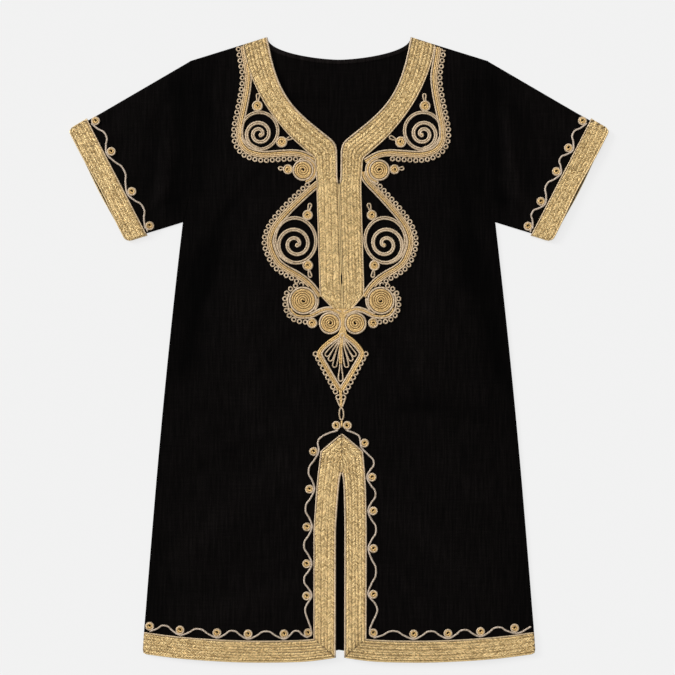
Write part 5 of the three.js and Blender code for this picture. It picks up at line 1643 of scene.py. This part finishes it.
class GANDOURA_OT_pendant(Operator):
    """Couches the diamond pendant, its fan of loops, and the link below it"""
    bl_idname = "gandoura.pendant"
    bl_label = "Pendant and link"

    def execute(self, context):
        work = Cordwork(1, keep=clear_of_centre)
        for side in (-1, 1):
            pendant_side(work, side)
        work.loop(DROP["root"], DROP["tip"], DROP["half"], PALE, DROP["width"], DROP["foot"])
        for side in (-1, 1):
            pendant_stem(work, side)
        work.cord(smooth(SHEAF_TIE), GOLD, 2.0)
        work.coil(*FAN_KNOT, heart=0.6)
        work.piece("cord_pendant", "pendant")

        link = Cordwork(1)
        a = 2 * math.pi * np.arange(30) / 30
        oval = np.stack([LINK["width"] * np.sin(a), LINK["y"] + LINK["half"] * np.cos(a)], 1)
        link.cord(oval, PALE, 1.9, closed=True)
        x, y, radius = LINK["coil"]
        for side in (-1, 1):
            link.coil(side * x, y, radius, heart=1.4)
        link.cord(smooth(LINK_STEM), GOLD, 2.6)
        link.piece("cord_link", "link")
        return {"FINISHED"}


def wavy_line(edge, out, stops, start=(), end=()):
    """The line of a wavy cord, and the middles of the coils that stand beside it."""
    line, middles = list(start), []
    for i, s in enumerate(stops):
        p, o = np.array(edge(s)), np.array(out(s))
        line.append(tuple(p + o * WAVE_NEAR))
        middles.append(tuple(p + o * COIL_STAND))
        if i + 1 < len(stops):
            for share, swing in WAVE_STEPS:
                at = mix(s, stops[i + 1], share)
                p, o = np.array(edge(at)), np.array(out(at))
                line.append(tuple(p + o * mix(WAVE_NEAR, WAVE_SWING, swing)))
    return line + list(end), middles


def arch_edge(y):
    x, shoulder_y = ARCH_SHOULDER
    if y < shoulder_y:
        return float(vent_outer(y)), y
    return x * (VENT_APEX - y) / (VENT_APEX - shoulder_y), y


def arch_out(y):
    x, shoulder_y = ARCH_SHOULDER
    if y < shoulder_y:
        return 1.0, 0.0
    fall = VENT_APEX - shoulder_y
    length = math.hypot(x, fall)
    return fall / length, x / length


def wavy_piece(name, node, side, lay, line, middles, keep=None):
    work = Cordwork(side, lay, keep)
    work.cord(smooth(line), ASH, WAVE_WIDTH)
    for x, y in middles:
        work.coil(x, y, COIL_RADIUS, start=0.75, heart=1.3)
    return work.piece(name, node)


class GANDOURA_OT_wavy_cords(Operator):
    """Couches the wavy cord with coils beside the vent, the hem and the cuffs"""
    bl_idname = "gandoura.wavy_cords"
    bl_label = "Wavy cords"

    def execute(self, context):
        base = CUFF_TOP + CUFF_NORMAL * BRAID_WIDTH
        for name, side in SIDES:
            stops = COILS[name]["vent"]
            vent = wavy_line(arch_edge, arch_out, stops, ARCH_START[name], VENT_END[name])
            wavy_piece("cord_vent_" + name, "vent_cord_" + name, side, on_front, *vent)
            stops = COILS[name]["hem"]
            hem = wavy_line(lambda x: (x, float(hem_top(x))), lambda x: (0.0, 1.0), stops, (), HEM_END[name])
            wavy_piece("cord_hem_" + name, "hem_cord_" + name, side, on_front, *hem,
                       keep=lambda x, y: x < outer_edge(y) - 1.6)
            last = COILS[name]["cuff"][-1]
            end = [tuple(base + CUFF_DOWN * (last + on) + CUFF_NORMAL * out) for out, on in CUFF_END]
            cuff = wavy_line(lambda s: base + CUFF_DOWN * s, lambda s: CUFF_NORMAL, COILS[name]["cuff"], (), end)
            wavy_piece("cord_cuff_" + name, "cuff_cord_" + name, side, on_sleeve, *cuff)
        return {"FINISHED"}


class GANDOURA_OT_neck_rim(Operator):
    """Turns a narrow stitched hem along the back neckline"""
    bl_idname = "gandoura.neck_rim"
    bl_label = "Back neck hem"

    def execute(self, context):
        half = np.sin(np.linspace(0, math.pi / 2, 60)) * (NECK[0] - 0.5)
        x = np.concatenate([-half[:0:-1], half])
        up = (2 / math.pi * np.arcsin(np.abs(x) / NECK[0])) ** (1 / BACK_NECK_CURVE)
        edge = spaced(np.stack([x, NECK[1] - BACK_NECK_DROP + BACK_NECK_DROP * up], 1), 2.0)
        inner = offset(edge, -RIM["width"])

        def lay(xy, height):
            return np.concatenate([xy, (back_top(xy[..., 0], xy[..., 1]) + height)[..., None]], axis=-1)
        band = Band(edge, inner, lay)
        stock = Stock()
        s, t = np.meshgrid(np.linspace(0, band.length, 140), np.linspace(0, 1, 6), indexing="ij")
        rise = RIM["height"] * np.sqrt(np.sin(math.pi * np.clip(t, 0.04, 0.96)))
        add_wall(stock, band.place(s, t, rise), band.place(s, t, rise * 0 - RIM["sink"]))
        points, faces = one_strand()
        at = np.arange(3, band.length - 3, RIM["stitch"])[:, None]
        along, across = points[:, 0] * RIM["long"], points[:, 1] * RIM["wide"] / RIM["width"]
        placed = band.place(at + along, RIM["line"] + across + 0 * at, 0.55 + 0.3 * points[:, 2] + 0 * at)
        many = strand_faces(band, faces, len(at), len(points))
        stock.add(placed, many, placed.reshape(-1, 3)[many][..., :2], 1.0)
        stock.piece("hem_back_neck", finish_named(PALE_COTTON), "back", "cotton")
        return {"FINISHED"}


# ---- Settings, panel and order of work ----
class GandouraSizes(PropertyGroup):
    """Sizes of the cloth, the cord and the creases. Millimetres where the name says so."""
    cloth_step: FloatProperty(
        name="Cloth net", description="Size of the squares of the cloth's net", default=0.004,
        min=0.002, max=0.02, subtype="DISTANCE", unit="LENGTH")
    cloth_thickness: FloatProperty(
        name="Cloth thickness (mm)", description="Thickness of the cotton", default=1.0, min=0.4, max=1.2)
    crease_depth: FloatProperty(
        name="Crease depth", description="Depth of the creases, 1 as laid", default=1.0, min=0.0, max=1.5)
    cord_width: FloatProperty(
        name="Cord width (mm)", description="Width of the couching cord", default=2.4, min=1.5, max=3.0)
    cord_height: FloatProperty(
        name="Cord height (mm)", description="Height of the couching cord", default=1.8, min=1.0, max=2.5)
    rim_lift: FloatProperty(
        name="Neck hem's paleness", description="How much paler the back neck hem is", default=3.0, min=1.0, max=8.0)


class GandouraColours(PropertyGroup):
    """Colours of the cloth, the threads and the floor."""
    cotton: FloatVectorProperty(
        name="Cotton", description="Colour of the cloth", default=(0.0025, 0.0020, 0.0019), subtype="COLOR")
    gold: FloatVectorProperty(
        name="Gold thread", description="Colour of the braid's gold strands", default=(0.8, 0.605, 0.3),
        subtype="COLOR")
    gold_cord: FloatVectorProperty(
        name="Gold cord", description="Colour of the gold cords", default=(0.68, 0.46, 0.19), subtype="COLOR")
    pale_cord: FloatVectorProperty(
        name="Pale cord", description="Colour of the pale cords", default=(0.63, 0.5, 0.35), subtype="COLOR")
    ash_cord: FloatVectorProperty(
        name="Ash cord", description="Colour of the wavy cords", default=(0.59, 0.5, 0.42), subtype="COLOR")
    bed: FloatVectorProperty(
        name="Braid bed", description="Colour seen between the strands", default=(0.28, 0.19, 0.08),
        subtype="COLOR")
    floor: FloatVectorProperty(
        name="Floor", description="Colour of the floor", default=(0.15, 0.15, 0.15), subtype="COLOR")


STEPS = (
    GANDOURA_OT_stage, GANDOURA_OT_body, GANDOURA_OT_sleeves, GANDOURA_OT_neck_rim, GANDOURA_OT_neck_braid,
    GANDOURA_OT_vent_braid, GANDOURA_OT_hem_braid, GANDOURA_OT_cuff_braid, GANDOURA_OT_scrolls,
    GANDOURA_OT_rosettes, GANDOURA_OT_pendant, GANDOURA_OT_wavy_cords,
)


class GANDOURA_PT_panel(Panel):
    """Lists the garment's pieces and their settings"""
    bl_idname = "GANDOURA_PT_panel"
    bl_label = "Gandoura"
    bl_space_type = "VIEW_3D"
    bl_region_type = "UI"
    bl_category = "Gandoura"

    def draw(self, context):
        for group in (context.scene.gandoura_sizes, context.scene.gandoura_colours):
            for title in group.bl_rna.properties.keys():
                if title not in ("rna_type", "name"):
                    self.layout.prop(group, title)
        for step in STEPS:
            self.layout.operator(step.bl_idname)


CLASSES = (GandouraSizes, GandouraColours) + STEPS + (GANDOURA_PT_panel,)


def register():
    for cls in CLASSES:
        bpy.utils.register_class(cls)
    bpy.types.Scene.gandoura_sizes = PointerProperty(type=GandouraSizes)
    bpy.types.Scene.gandoura_colours = PointerProperty(type=GandouraColours)


def unregister():
    del bpy.types.Scene.gandoura_colours
    del bpy.types.Scene.gandoura_sizes
    for cls in reversed(CLASSES):
        bpy.utils.unregister_class(cls)


def main():
    register()
    bpy.ops.gandoura.stage()
    bpy.ops.gandoura.body()
    bpy.ops.gandoura.sleeves()
    bpy.ops.gandoura.neck_rim()
    bpy.ops.gandoura.neck_braid()
    bpy.ops.gandoura.vent_braid()
    bpy.ops.gandoura.hem_braid()
    bpy.ops.gandoura.cuff_braid()
    bpy.ops.gandoura.scrolls()
    bpy.ops.gandoura.rosettes()
    bpy.ops.gandoura.pendant()
    bpy.ops.gandoura.wavy_cords()


if __name__ == "__main__":
    main()
